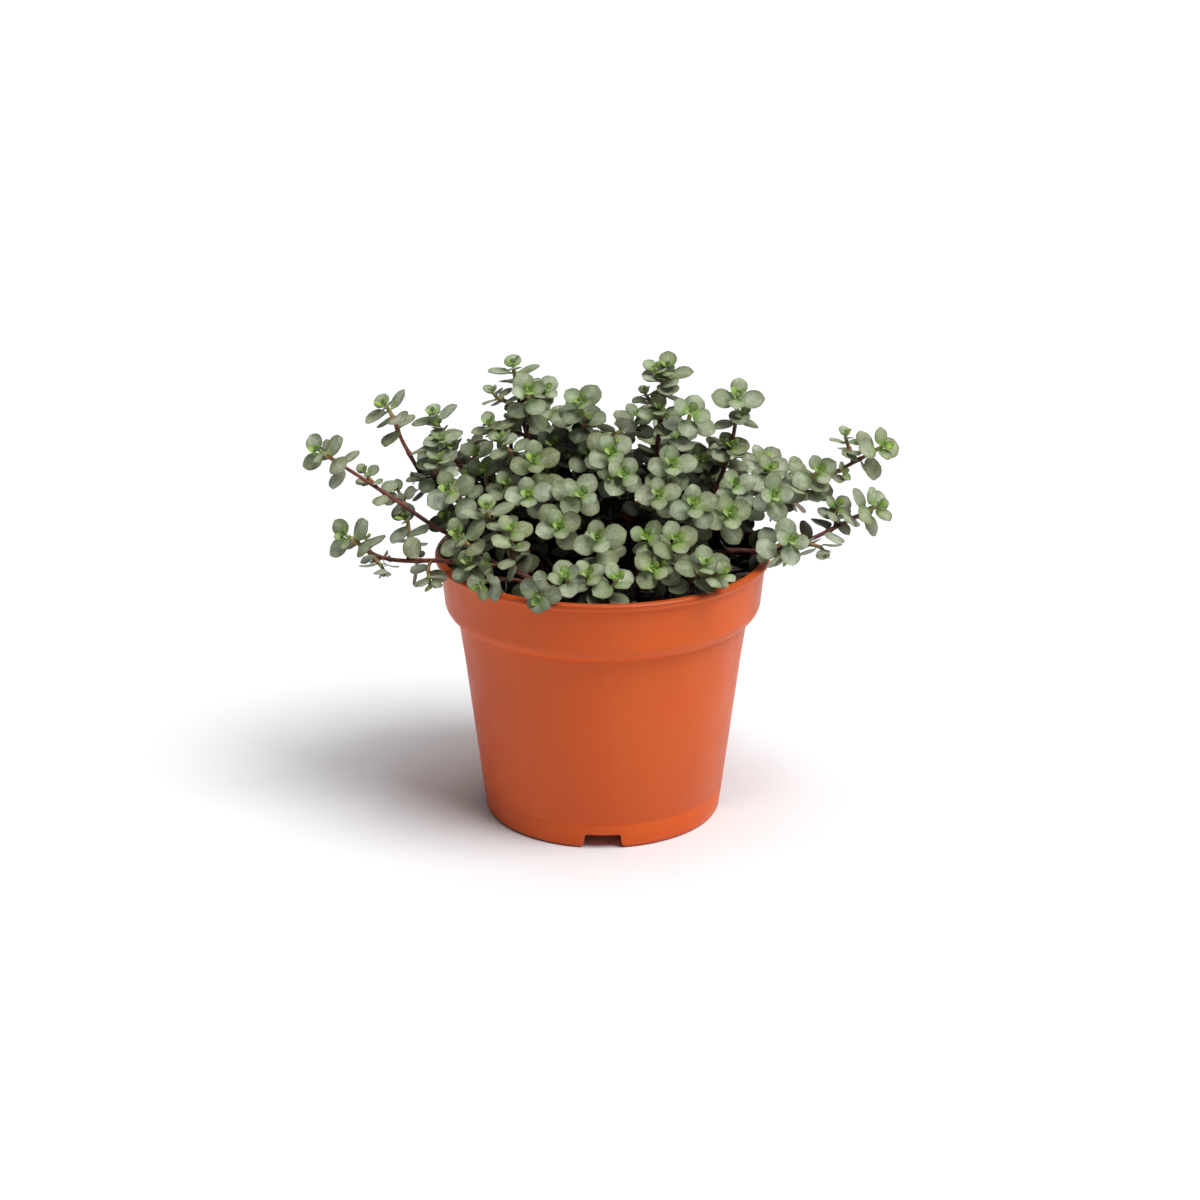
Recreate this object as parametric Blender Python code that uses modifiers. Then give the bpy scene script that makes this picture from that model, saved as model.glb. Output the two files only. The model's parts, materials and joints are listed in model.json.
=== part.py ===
"""A small-leaved pilea growing in a plastic nursery pot, at its real size (metres, +Z up).

The origin is the middle of the pot's foot, on the surface that the pot stands on. The pot, the soil,
each woody stem and each leafy top is an object of its own. Sizes and places are in millimetres here
and become metres where a mesh is made.
"""
import math
from collections import namedtuple

import bmesh
import bpy
from mathutils import Matrix, Vector
from mathutils.bvhtree import BVHTree

MM = 0.001
GAP = 0.3                    # between two pieces that rest on each other

# Pot: a turned shell, radii and heights of its outside
POT_HEIGHT = 97.5
LIP_RADIUS = 60.0
LIP_HEIGHT = 2.5
# The rolled lip, from its top to its underside: in from its radius, up from the top of the band
LIP_SECTION = ((1.6, 2.5), (0.6, 2.35), (0, 1.6), (0.4, 0.6))
BAND_TOP_RADIUS = 57.8       # just under the lip
SHOULDER_RADIUS = 55.6       # where the plain band ends
SHOULDER_HEIGHT = 80.5
SHOULDER_ROUNDING = 6.0
SHOULDER_SWEEP = 68          # degrees that the rounding turns inwards
BODY_TOP_RADIUS = 51.9
BODY_TOP_HEIGHT = 74.5
FOOT_RADIUS = 43.0
FOOT_ROUNDING = 1.4
FOOT_WIDTH = 1.6             # of the ring that the pot stands on
WALL = 1.2
BASE_CLEARANCE = 5.6         # under the raised base
BASE_THICKNESS = 1.5
FLOOR_CORNER = 1.2           # slope between the floor and the wall
TURN_STEPS = 40
SHARP_EDGE = 40              # degrees

NOTCH_COUNT = 4
NOTCH_WIDTH = 13.0
NOTCH_HEIGHT = 5.3
NOTCH_ROUNDING = 3.0         # of the feet on both sides of a notch
NOTCH_CORNER = 0.8           # slope in the upper corners of a notch
NOTCH_DEPTH = 12.0           # of the cutter, along the radius
DRAIN_HOLE_COUNT = 8
DRAIN_HOLE_RADIUS = 3.5
DRAIN_CIRCLE_RADIUS = 29.0

# Soil
SOIL_HEIGHT = 88.5           # where the stems rise
SOIL_FLAT_RADIUS = 47.0
SOIL_EDGE_HEIGHT = 86.5      # where it meets the wall

# Stems and leaves
WOOD_RADIUS = 0.95           # at the soil
TWIG_RADIUS = 0.65           # at the end of the woody part, and of side branches
YOUNG_RADIUS = 0.6
TIP_RADIUS = 0.5
YOUNG_LENGTH = 12.0          # of the green end that carries the leafy top
SHORTEST_TWIG = 6.0          # woody part of a side branch
RISE = 4.0                   # that a stem goes straight up from the soil
STEM_SPACING = 7.0           # between the points of a woody stem
LEAF_THICKNESS = 0.9
LEAF_WIDTH = 0.96            # of its length
LEAF_NECK = 0.42             # how narrow it is towards its stalk, of a round leaf's width there
LEAF_CUP = 0.16              # how far the margin bends down, of its length
LEAF_CREST = 0.58            # where it is thickest, of its length
LEAF_CLEARANCE = 0.4         # from everything but its own stem

# One pair of leaves each: distance below the tip (mm), size, rise above the cross plane (degrees)
LEAF_PAIRS = ((0.8, 0.60, 50), (2.6, 0.96, 24), (5.2, 1.0, 6), (9.8, 0.92, -8))
# A leaf that would touch its neighbours is bent, turned (degrees) or made smaller
LEAF_TRIES = ((0, 0, 1.0), (14, 0, 1.0), (-14, 0, 1.0), (0, 18, 0.95), (0, -18, 0.95), (28, 0, 0.9),
              (-28, 0, 0.9), (16, 26, 0.85), (16, -26, 0.85), (-16, 26, 0.8), (-16, -26, 0.8))

# A top is where its tip is, which way it faces, how far its leaves are turned about that way
# (degrees, 0 has a pair lying left and right), and its leaf length. A side branch also says at which
# share of the stem's length it leaves, and the points that it bends through.
Top = namedtuple("Top", "tip facing turn leaf leaves_at bends", defaults=(None, ()))
Stem = namedtuple("Stem", "foot bends tops")

STEMS = (
    # left side, from the top down
    Stem((-20, 4), ((-40, 3, 108), (-61, 2, 121), (-70, 3, 135)),
         (Top((-77, 5, 150), (-0.55, -0.3, 0.8), 20, 9.4),)),
    Stem((-16, 12), ((-40, 10, 114), (-54, 9, 130)),
         (Top((-60, 8, 146), (-0.3, -0.2, 0.95), 0, 8.8),)),
    Stem((-22, -6), ((-40, -8, 101), (-56, -9, 107), (-72, -6, 117), (-84, -5, 125)),
         (Top((-100, -5, 136), (-0.55, -0.55, 0.6), 10, 9.4),)),
    Stem((-24, -20), ((-46, -27, 101), (-57, -23, 101), (-71, -17, 99), (-80, -14, 100)),
         (Top((-91, -12, 107), (-0.6, -0.6, 0.5), 20, 9.4),
          Top((-70, -6, 112), (-0.5, -0.4, 0.7), 30, 9.2, 0.62, ((-68, -12, 104),)))),
    Stem((-18, -12), ((-36, -12, 108),),
         (Top((-54, -15, 125), (-0.3, -0.75, 0.55), 10, 9.8),
          Top((-40, -30, 123), (0, -0.15, 1), 0, 9.4, 0.3, ((-32, -24, 108),)))),
    Stem((-14, -41), ((-28, -43, 103), (-40, -40, 108)),
         (Top((-50, -35, 115), (-0.45, -0.5, 0.75), 10, 9.4),
          Top((-31, -38, 118), (0, -0.5, 0.8), 30, 8.4, 0.4, ((-31, -42, 109),)))),
    # middle, from the left to the right
    Stem((-10, 4), ((-20, 8, 115), (-28, 12, 140)),
         (Top((-32, 18, 161), (-0.15, -0.1, 1), 0, 9.4),
          Top((-26, 4, 155), (0.05, -0.75, 0.65), 100, 9.4, 0.66, ((-26, 8, 144),)))),
    Stem((-10, -8), ((-18, -9, 115),),
         (Top((-24, -12, 135), (0, -0.75, 0.65), 0, 9.8),)),
    Stem((0, -26), ((1, -33, 103),),
         (Top((-2, -38, 115), (0, -0.8, 0.6), 10, 9.6),)),
    Stem((-4, -40), ((-8, -46, 97),),
         (Top((-13, -50, 105), (-0.1, -0.6, 0.8), 90, 8.8),
          Top((5, -50, 104), (0.15, -0.5, 0.85), 30, 8.8, 0.35, ((0, -48, 97),)))),
    Stem((-1, 3), ((-4, 4, 118),),
         (Top((-8, 4, 151), (-0.15, -0.6, 0.8), 40, 9.8),)),
    Stem((10, 8), ((18, 10, 125), (21, 12, 145)),
         (Top((23, 14, 161), (-0.05, -0.3, 0.95), -10, 9.4),)),
    Stem((12, -4), ((24, -2, 118),),
         (Top((31, 2, 148), (0.1, -0.75, 0.65), 60, 9.6),)),
    Stem((12, -30), ((19, -36, 101),),
         (Top((25, -38, 114), (0.1, -0.7, 0.7), 20, 9.4),)),
    # right side, from the top down
    Stem((20, 6), ((37, 8, 112), (45, 9, 130)),
         (Top((48, 10, 152), (0, -0.6, 0.8), -15, 9.6),)),
    Stem((24, 1), ((46, 1, 109), (62, 0, 117), (78, 0, 124)),
         (Top((99, 0, 136), (0.5, -0.65, 0.55), 0, 9.2),
          Top((76, -6, 129), (0.1, -0.75, 0.55), 20, 8.8, 0.45, ((64, -6, 119),)))),
    Stem((20, -18), ((31, -17, 106),),
         (Top((44, -24, 119), (0.1, -0.8, 0.55), 15, 9.6),)),
    Stem((22, -9), ((42, -13, 101), (58, -15, 102), (71, -14, 105)),
         (Top((97, -10, 117), (0.6, -0.6, 0.5), 30, 9.4),
          Top((66, -24, 109), (0.2, -0.8, 0.5), 80, 9.0, 0.5, ((60, -20, 105),)))),
    Stem((22, -36), ((29, -41, 99),),
         (Top((35, -46, 108), (0.2, -0.5, 0.8), 0, 9.6),)),
    # back, from the left to the right
    Stem((-18, 18), ((-38, 28, 110),),
         (Top((-62, 38, 126), (-0.5, 0.4, 0.75), 30, 9.4),
          Top((-34, 40, 134), (-0.2, 0.4, 0.9), 60, 9.4, 0.4, ((-34, 32, 116),)))),
    Stem((-9, 24), ((-15, 38, 108),),
         (Top((-24, 56, 118), (-0.3, 0.6, 0.7), 10, 9.4),)),
    Stem((4, 24), ((8, 38, 106),),
         (Top((12, 57, 114), (0.2, 0.7, 0.65), 40, 9.4),)),
    Stem((2, 14), ((3, 22, 116),),
         (Top((2, 32, 140), (0, 0.3, 0.95), 20, 9.6),)),
    Stem((16, 20), ((32, 34, 108),),
         (Top((46, 48, 120), (0.4, 0.5, 0.75), 50, 9.4),
          Top((70, 28, 119), (0.6, 0.3, 0.75), 0, 9.4, 0.4, ((50, 30, 109),)))),
)

# Colours as linear values, roughness
POT_LOOK = ((0.52, 0.095, 0.035), 0.42)
SOIL_LOOK = ((0.012, 0.009, 0.007), 0.95)
WOOD_LOOK = ((0.16, 0.045, 0.03), 0.6)
LEAF_LOOK = ((0.26, 0.34, 0.20), 0.62)


def arc(centre, radius, start, end, steps):
    """Points on an arc in the (radius, height) plane, angles in degrees from the outward way."""
    points = []
    for i in range(steps + 1):
        angle = math.radians(start + (end - start) * i / steps)
        points.append((centre[0] + radius * math.cos(angle), centre[1] + radius * math.sin(angle)))
    return points


def body_radius(height):
    """Outside radius of the tapered body."""
    share = (height - FOOT_ROUNDING) / (BODY_TOP_HEIGHT - FOOT_ROUNDING)
    return FOOT_RADIUS + (BODY_TOP_RADIUS - FOOT_RADIUS) * share


def inside_wall():
    """Inside of the pot from the edge of its floor up to just below the lip."""
    floor = BASE_CLEARANCE + BASE_THICKNESS
    corner = floor + FLOOR_CORNER
    shoulder = (SHOULDER_RADIUS - SHOULDER_ROUNDING, SHOULDER_HEIGHT)
    points = [(body_radius(floor) - WALL - FLOOR_CORNER, floor), (body_radius(corner) - WALL, corner)]
    points += arc(shoulder, SHOULDER_ROUNDING - WALL, -SHOULDER_SWEEP, 0, 3)
    points.append((BAND_TOP_RADIUS - WALL, POT_HEIGHT - LIP_HEIGHT))
    return points


def pot_profile():
    """Half section of the pot, from the middle of its floor over the lip to its underside."""
    lip_foot = POT_HEIGHT - LIP_HEIGHT
    shoulder = (SHOULDER_RADIUS - SHOULDER_ROUNDING, SHOULDER_HEIGHT)
    points = [(0, BASE_CLEARANCE + BASE_THICKNESS)]
    points += inside_wall()
    points += [(LIP_RADIUS - inwards, lip_foot + up) for inwards, up in LIP_SECTION]
    points.append((BAND_TOP_RADIUS, lip_foot))
    points += arc(shoulder, SHOULDER_ROUNDING, 0, -SHOULDER_SWEEP, 4)
    points.append((BODY_TOP_RADIUS, BODY_TOP_HEIGHT))
    points += arc((FOOT_RADIUS - FOOT_ROUNDING, FOOT_ROUNDING), FOOT_ROUNDING, 0, -90, 2)
    ring_inside = FOOT_RADIUS - FOOT_ROUNDING - FOOT_WIDTH
    points += [(ring_inside, 0), (ring_inside - 0.4, BASE_CLEARANCE), (0, BASE_CLEARANCE)]
    return points


def soil_profile():
    """Half section of the soil, from its top down the wall of the pot to its underside."""
    points = [(0, SOIL_HEIGHT), (SOIL_FLAT_RADIUS, SOIL_HEIGHT)]
    wall = inside_wall()
    low, high = wall[-2], wall[-1]
    share = (SOIL_EDGE_HEIGHT - low[1]) / (high[1] - low[1])
    points.append((low[0] + (high[0] - low[0]) * share - GAP, SOIL_EDGE_HEIGHT))
    points += [(radius - GAP, height) for radius, height in reversed(wall[1:-1])]
    floor = wall[0][1] + GAP
    points += [(wall[0][0] - GAP, floor), (0, floor)]
    return points


def material(name, look):
    """A plain Principled material."""
    colour, roughness = look
    made = bpy.data.materials.new(name)
    made.use_nodes = True
    shader = made.node_tree.nodes["Principled BSDF"]
    shader.inputs["Base Color"].default_value = (*colour, 1)
    shader.inputs["Roughness"].default_value = roughness
    shader.inputs["Metallic"].default_value = 0
    made.diffuse_color = (*colour, 1)
    return made


def add_object(name, data, collection):
    made = bpy.data.objects.new(name, data)
    collection.objects.link(made)
    return made


def turned(name, profile, collection):
    """A profile of (radius, height) points in millimetres, turned about the pot's axis."""
    mesh = bpy.data.meshes.new(name)
    points = [(radius * MM, 0, height * MM) for radius, height in profile]
    edges = [(i, i + 1) for i in range(len(points) - 1)]
    mesh.from_pydata(points, edges, [])
    made = add_object(name, mesh, collection)
    screw = made.modifiers.new("Turn", "SCREW")
    screw.steps = TURN_STEPS
    screw.render_steps = TURN_STEPS
    screw.use_merge_vertices = True
    screw.merge_threshold = 0.00001
    return made


def mesh_of(source):
    """The evaluated mesh of an object, which is removed, in world space and with its seams welded."""
    bpy.context.view_layer.update()
    depsgraph = bpy.context.evaluated_depsgraph_get()
    mesh = bpy.data.meshes.new_from_object(source.evaluated_get(depsgraph))
    mesh.transform(source.matrix_world)
    old = source.data
    bpy.data.objects.remove(source)
    if isinstance(old, bpy.types.Curve):
        bpy.data.curves.remove(old)
    bm = bmesh.new()
    bm.from_mesh(mesh)
    bmesh.ops.remove_doubles(bm, verts=bm.verts, dist=0.000002)
    bmesh.ops.recalc_face_normals(bm, faces=bm.faces)
    bm.to_mesh(mesh)
    bm.free()
    return mesh


def as_cutter(cutter):
    cutter.hide_render = True
    cutter.display_type = "WIRE"
    return cutter


def notch_cutter(index, collection):
    """Block that cuts one drainage notch, widening at its foot so that the feet beside it are round."""
    half = NOTCH_WIDTH / 2
    side = arc((half + NOTCH_ROUNDING, NOTCH_ROUNDING), NOTCH_ROUNDING, -90, -180, 3)
    right = [(half + NOTCH_ROUNDING, -1)] + side
    right += [(half, NOTCH_HEIGHT - NOTCH_CORNER), (half - NOTCH_CORNER, NOTCH_HEIGHT)]
    outline = right + [(-x, y) for x, y in reversed(right)]
    curve = bpy.data.curves.new("notch_outline", "CURVE")
    curve.dimensions = "2D"
    curve.fill_mode = "BOTH"
    curve.extrude = NOTCH_DEPTH / 2 * MM
    spline = curve.splines.new("POLY")
    spline.points.add(len(outline) - 1)
    for point, (x, y) in zip(spline.points, outline):
        point.co = (x * MM, y * MM, 0, 1)
    spline.use_cyclic_u = True
    made = add_object("notch_outline", curve, collection)
    turn = Matrix.Rotation(math.tau * index / NOTCH_COUNT, 4, "Z")
    stand = Matrix.Translation((0, -FOOT_RADIUS * MM, 0)) @ Matrix.Rotation(math.pi / 2, 4, "X")
    made.matrix_world = turn @ stand
    return as_cutter(add_object(f"notch_{index + 1}", mesh_of(made), collection))


def drain_cutter(index, collection):
    """Cylinder that cuts one drain hole through the base."""
    bm = bmesh.new()
    angle = math.tau * (index + 0.5) / DRAIN_HOLE_COUNT
    place = Vector((math.cos(angle), math.sin(angle), 0)) * DRAIN_CIRCLE_RADIUS
    place.z = BASE_CLEARANCE + BASE_THICKNESS / 2
    bmesh.ops.create_cone(bm, cap_ends=True, segments=12, radius1=DRAIN_HOLE_RADIUS * MM,
                          radius2=DRAIN_HOLE_RADIUS * MM, depth=2 * BASE_THICKNESS * MM,
                          matrix=Matrix.Translation(place * MM))
    mesh = bpy.data.meshes.new(f"drain_{index + 1}")
    bm.to_mesh(mesh)
    bm.free()
    return as_cutter(add_object(f"drain_{index + 1}", mesh, collection))


def shade(made, look):
    """Smooth shading with sharp edges, and the object's own material."""
    made.data.materials.append(look)
    made.data.shade_smooth()
    made.data.set_sharp_from_angle(angle=math.radians(SHARP_EDGE))
    return made


def make_pot(parts, cutters):
    pot = turned("pot_section", pot_profile(), parts)
    for index in range(NOTCH_COUNT):
        notch_cutter(index, cutters)
    for index in range(DRAIN_HOLE_COUNT):
        drain_cutter(index, cutters)
    cut = pot.modifiers.new("Notches and drain holes", "BOOLEAN")
    cut.operation = "DIFFERENCE"
    cut.solver = "EXACT"
    cut.operand_type = "COLLECTION"
    cut.collection = cutters
    pot = add_object("pot", mesh_of(pot), parts)
    return shade(pot, material("terracotta_plastic", POT_LOOK))


def make_soil(parts):
    soil = add_object("soil", mesh_of(turned("soil_section", soil_profile(), parts)), parts)
    return shade(soil, material("peat_soil", SOIL_LOOK))


def smooth_path(points, start_way, end_way, spacing):
    """Points along one smooth curve through the given ones, with its directions at both ends."""
    points = [Vector(p) for p in points]
    ways = [(points[i + 1] - points[i - 1]).normalized() for i in range(1, len(points) - 1)]
    ways = [Vector(start_way).normalized()] + ways + [Vector(end_way).normalized()]
    path = []
    for i in range(len(points) - 1):
        reach = (points[i + 1] - points[i]).length
        count = max(2, round(reach / spacing))
        for step in range(count):
            t = step / count
            a = 2 * t ** 3 - 3 * t ** 2 + 1
            b = (t ** 3 - 2 * t ** 2 + t) * reach
            c = (t ** 3 - t ** 2) * reach
            path.append(points[i] * a + ways[i] * b + points[i + 1] * (1 - a) + ways[i + 1] * c)
    return path + [points[-1]]


def path_length(path):
    return sum((b - a).length for a, b in zip(path, path[1:]))


def point_at(path, distance):
    """The point at a distance along a path, and the path's direction there."""
    for a, b in zip(path, path[1:]):
        step = (b - a).length
        if distance <= step:
            return a.lerp(b, distance / step), (b - a).normalized()
        distance -= step
    return path[-1].copy(), (path[-1] - path[-2]).normalized()


def stretch(path, start, end):
    """The part of a path between two distances along it."""
    kept = [point_at(path, start)[0]]
    done = 0.0
    for a, b in zip(path, path[1:]):
        done += (b - a).length
        if start + 1.0 < done < end - 1.0:
            kept.append(b)
    kept.append(point_at(path, end)[0])
    return kept


def tube(name, path, start_radius, end_radius, collection):
    """A round stem along a path, tapering from one radius to the other."""
    curve = bpy.data.curves.new(name, "CURVE")
    curve.dimensions = "3D"
    curve.bevel_depth = start_radius * MM
    curve.bevel_resolution = 1
    curve.use_fill_caps = True
    spline = curve.splines.new("POLY")
    spline.points.add(len(path) - 1)
    for i, (point, place) in enumerate(zip(spline.points, path)):
        point.co = (*(place * MM), 1)
        point.radius = 1 + (end_radius / start_radius - 1) * i / (len(path) - 1)
    made = add_object(name, curve, collection)
    return add_object(name, mesh_of(made), collection)


def fused(made, helpers, collection):
    """One solid from an object and the pieces that grow into it, which are removed."""
    if not helpers:
        return made
    group = bpy.data.collections.new("growing_in")
    collection.children.link(group)
    for helper in helpers:
        collection.objects.unlink(helper)
        group.objects.link(helper)
    union = made.modifiers.new("Grow together", "BOOLEAN")
    union.operation = "UNION"
    union.solver = "EXACT"
    union.operand_type = "COLLECTION"
    union.collection = group
    name = made.name
    mesh = mesh_of(made)
    for helper in helpers:
        bpy.data.objects.remove(helper)
    bpy.data.collections.remove(group)
    return add_object(name, mesh, collection)


def leaf_mesh(length, place):
    """A round leaf, its stalk end at the origin of place, its tip along X and its upper side to Z."""
    bm = bmesh.new()
    bmesh.ops.create_uvsphere(bm, u_segments=8, v_segments=2, radius=1)
    for v in bm.verts:
        x, y, z = v.co
        margin = math.hypot(x, y)
        along = (x + 1) / 2 if margin > 0.5 else LEAF_CREST
        side = y * length * LEAF_WIDTH / 2
        if margin > 0.5 and x < -0.5:
            side *= LEAF_NECK
        height = z * LEAF_THICKNESS / 2 - margin * length * LEAF_CUP
        if x < -0.9:
            height = 0
        v.co = Vector((along * length, side, height)) * MM
    bmesh.ops.transform(bm, matrix=place, verts=bm.verts)
    mesh = bpy.data.meshes.new("leaf")
    bm.to_mesh(mesh)
    bm.free()
    return mesh


def leaf_place(node, axis, turn, rise):
    """Frame of a leaf that leaves a stem at a node, turned about the stem and rising from its cross plane."""
    sideways = Vector((1, 0, 0)) - axis * axis.x
    if sideways.length < 0.2:
        sideways = Vector((0, 1, 0)) - axis * axis.y
    sideways.normalize()
    radial = Matrix.Rotation(math.radians(turn), 3, axis) @ sideways
    lift = math.radians(rise)
    along = radial * math.cos(lift) + axis * math.sin(lift)
    upper = axis * math.cos(lift) - radial * math.sin(lift)
    across = upper.cross(along)
    frame = Matrix((along, across, upper)).transposed().to_4x4()
    return Matrix.Translation(node * MM) @ frame


class Space:
    """The solids placed so far, to keep new ones clear of them."""

    def __init__(self):
        self.solids = []

    def add(self, mesh):
        points = [v.co.copy() for v in mesh.vertices]
        faces = [tuple(p.vertices) for p in mesh.polygons]
        low = Vector(min(p[i] for p in points) for i in range(3))
        high = Vector(max(p[i] for p in points) for i in range(3))
        self.solids.append((low, high, points, BVHTree.FromPolygons(points, faces)))

    def is_clear(self, mesh, gap):
        """Whether a mesh keeps its distance from every solid."""
        tried = Space()
        tried.add(mesh)
        low, high, points, tree = tried.solids[0]
        for other_low, other_high, other_points, other_tree in self.solids:
            apart = any(low[i] > other_high[i] + gap or high[i] < other_low[i] - gap for i in range(3))
            if apart:
                continue
            if tree.overlap(other_tree):
                return False
            if any(other_tree.find_nearest(p, gap)[0] for p in points):
                return False
            close = [p for p in other_points
                     if all(low[i] - gap < p[i] < high[i] + gap for i in range(3))]
            if any(tree.find_nearest(p, gap)[0] for p in close):
                return False
        return True


def leafy_top(name, top, path, space, parts):
    """The young end of a stem with its pairs of leaves, each pair at right angles to the next."""
    made = tube(name, path, YOUNG_RADIUS, TIP_RADIUS, parts)
    length = path_length(path)
    leaves = []
    for pair, (below_tip, size, rise) in enumerate(LEAF_PAIRS):
        node, axis = point_at(path, max(length - below_tip, 1.2))
        for side in (0, 180):
            turn = top.turn + side + 90 * pair + 7 * pair
            for bend, twist, scale in LEAF_TRIES:
                place = leaf_place(node, axis, turn + twist, rise + bend)
                mesh = leaf_mesh(top.leaf * size * scale, place)
                if space.is_clear(mesh, LEAF_CLEARANCE * MM):
                    leaves.append(add_object("leaf", mesh, parts))
                    break
    return fused(made, leaves, parts)


def grow(stem, number, parts, space):
    """The woody stem with its side branches as one solid, and the paths of its leafy tops."""
    foot = Vector((*stem.foot, SOIL_HEIGHT + GAP))
    up = Vector((0, 0, 1))
    main = stem.tops[0]
    points = [foot + up * RISE, *stem.bends, main.tip]
    trunk = [foot] + smooth_path(points, up, main.facing, STEM_SPACING)
    length = path_length(trunk)
    wood = stretch(trunk, 0, length - YOUNG_LENGTH)
    made = tube(f"stem_{number:02d}", wood, WOOD_RADIUS, TWIG_RADIUS, parts)
    ends = [(main, stretch(trunk, length - YOUNG_LENGTH + GAP, length))]
    branches = []
    for top in stem.tops[1:]:
        start, way = point_at(trunk, length * top.leaves_at)
        branch = smooth_path([start, *top.bends, top.tip], way, top.facing, STEM_SPACING)
        reach = path_length(branch)
        young = min(YOUNG_LENGTH, reach - SHORTEST_TWIG)
        twig = stretch(branch, 0, reach - young)
        branches.append(tube("twig", twig, TWIG_RADIUS, TWIG_RADIUS, parts))
        ends.append((top, stretch(branch, reach - young + GAP, reach)))
    made = fused(made, branches, parts)
    space.add(made.data)
    return made, ends


def make_plant(parts, space):
    wood = material("red_brown_stem", WOOD_LOOK)
    green = material("grey_green_leaf", LEAF_LOOK)
    ends = []
    for number, stem in enumerate(STEMS, 1):
        made, tops = grow(stem, number, parts, space)
        shade(made, wood)
        ends += tops
    for number, (top, path) in enumerate(ends, 1):
        made = leafy_top(f"leafy_top_{number:02d}", top, path, space, parts)
        space.add(made.data)
        shade(made, green)


def main():
    for old in list(bpy.data.objects):
        bpy.data.objects.remove(old)
    parts = bpy.data.collections.new("potted_pilea")
    cutters = bpy.data.collections.new("pot_cutters")
    bpy.context.scene.collection.children.link(parts)
    bpy.context.scene.collection.children.link(cutters)

    space = Space()
    space.add(make_pot(parts, cutters).data)
    space.add(make_soil(parts).data)
    make_plant(parts, space)


main()
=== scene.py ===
"""The looks of a small-leaved pilea in a plastic nursery pot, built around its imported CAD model.

Sizes and places are in millimetres, in the frame of the CAD, and become metres where a mesh is made.
The plant is drawn as it grows: woody stems from the soil, side shoots from the stems, and on every
shoot pairs of leaves, each pair turned by a little over a right angle from the last.
"""

import json
import math
import random
from collections import namedtuple

import bmesh
import bpy
from mathutils import Matrix, Vector, noise
from mathutils.bvhtree import BVHTree
from mathutils.kdtree import KDTree

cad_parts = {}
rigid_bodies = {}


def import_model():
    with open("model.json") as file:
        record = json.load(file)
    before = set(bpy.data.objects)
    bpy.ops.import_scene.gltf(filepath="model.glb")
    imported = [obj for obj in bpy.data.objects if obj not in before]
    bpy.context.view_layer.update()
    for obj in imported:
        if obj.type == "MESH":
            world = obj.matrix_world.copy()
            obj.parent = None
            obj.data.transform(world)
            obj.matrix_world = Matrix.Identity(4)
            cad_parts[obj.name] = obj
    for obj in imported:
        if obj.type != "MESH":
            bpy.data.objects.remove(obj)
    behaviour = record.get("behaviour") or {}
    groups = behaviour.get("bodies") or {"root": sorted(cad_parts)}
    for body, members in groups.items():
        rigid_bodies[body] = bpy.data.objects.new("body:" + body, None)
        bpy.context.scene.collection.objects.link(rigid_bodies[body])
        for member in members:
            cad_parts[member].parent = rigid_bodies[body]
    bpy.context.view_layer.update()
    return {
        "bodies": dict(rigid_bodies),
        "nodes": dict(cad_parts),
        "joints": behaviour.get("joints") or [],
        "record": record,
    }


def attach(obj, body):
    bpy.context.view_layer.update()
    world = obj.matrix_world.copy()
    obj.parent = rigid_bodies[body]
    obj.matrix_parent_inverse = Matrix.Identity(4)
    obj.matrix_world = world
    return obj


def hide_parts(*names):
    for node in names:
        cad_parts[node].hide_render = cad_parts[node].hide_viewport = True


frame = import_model()
MM = 0.001

# Pot: radii and heights of its outside. Its band and shoulder are 0.5 and 1.2 mm fuller than in the CAD
POT_HEIGHT = 97.5
LIP_RADIUS = 60.0
LIP_HEIGHT = 2.5
BAND_TOP_RADIUS = 58.3
SHOULDER_RADIUS = 56.8
SHOULDER_HEIGHT = 80.5
SHOULDER_ROUNDING = 6.2
SHOULDER_SWEEP = 68          # degrees
BODY_TOP_RADIUS = 51.9
BODY_TOP_HEIGHT = 74.5
FOOT_RADIUS = 43.0
FOOT_ROUNDING = 1.4
FOOT_WIDTH = 1.6
WALL = 1.2
BASE_CLEARANCE = 5.6
BASE_THICKNESS = 1.5
MOULD_LINE_HEIGHT = 9.2      # fine groove where the two halves of the mould met
MOULD_LINE_WIDTH = 0.7
MOULD_LINE_DEPTH = 0.1
TURN_STEPS = 144
NOTCH_COUNT = 4
NOTCH_WIDTH = 13.0
NOTCH_HEIGHT = 5.3
NOTCH_ROUNDING = 3.0
NOTCH_DEPTH = 12.0
DRAIN_HOLE_COUNT = 8
DRAIN_HOLE_RADIUS = 3.5
DRAIN_CIRCLE_RADIUS = 29.0
INSIDE_DUST_AND_SHADE, LIP_DUST_AND_SHADE = 0.88, 0.34   # darkening of the inside wall and of the lip's top: partly peat dust, partly painted shade

# Soil
SOIL_HEIGHT = 88.5
SOIL_EDGE_HEIGHT = 88.5      # 2 mm higher than in the CAD
SOIL_FLAT_RADIUS = 47.0
SOIL_GAP = 0.3               # from the wall and the floor of the pot
SCRAP_PLACES = ((51.5, 9), (50, 2), (52.5, -3), (46, -8), (47, 15), (-38, -24), (-29, -31), (6, -47),
                (-12, -46), (33, -37), (20, 42), (-30, 38), (-48, 8))      # of withered leaves (x, y)
CRUMB_COUNT, LUMP_COUNT, PERLITE_COUNT, FIBRE_COUNT = 900, 70, 60, 90

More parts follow.
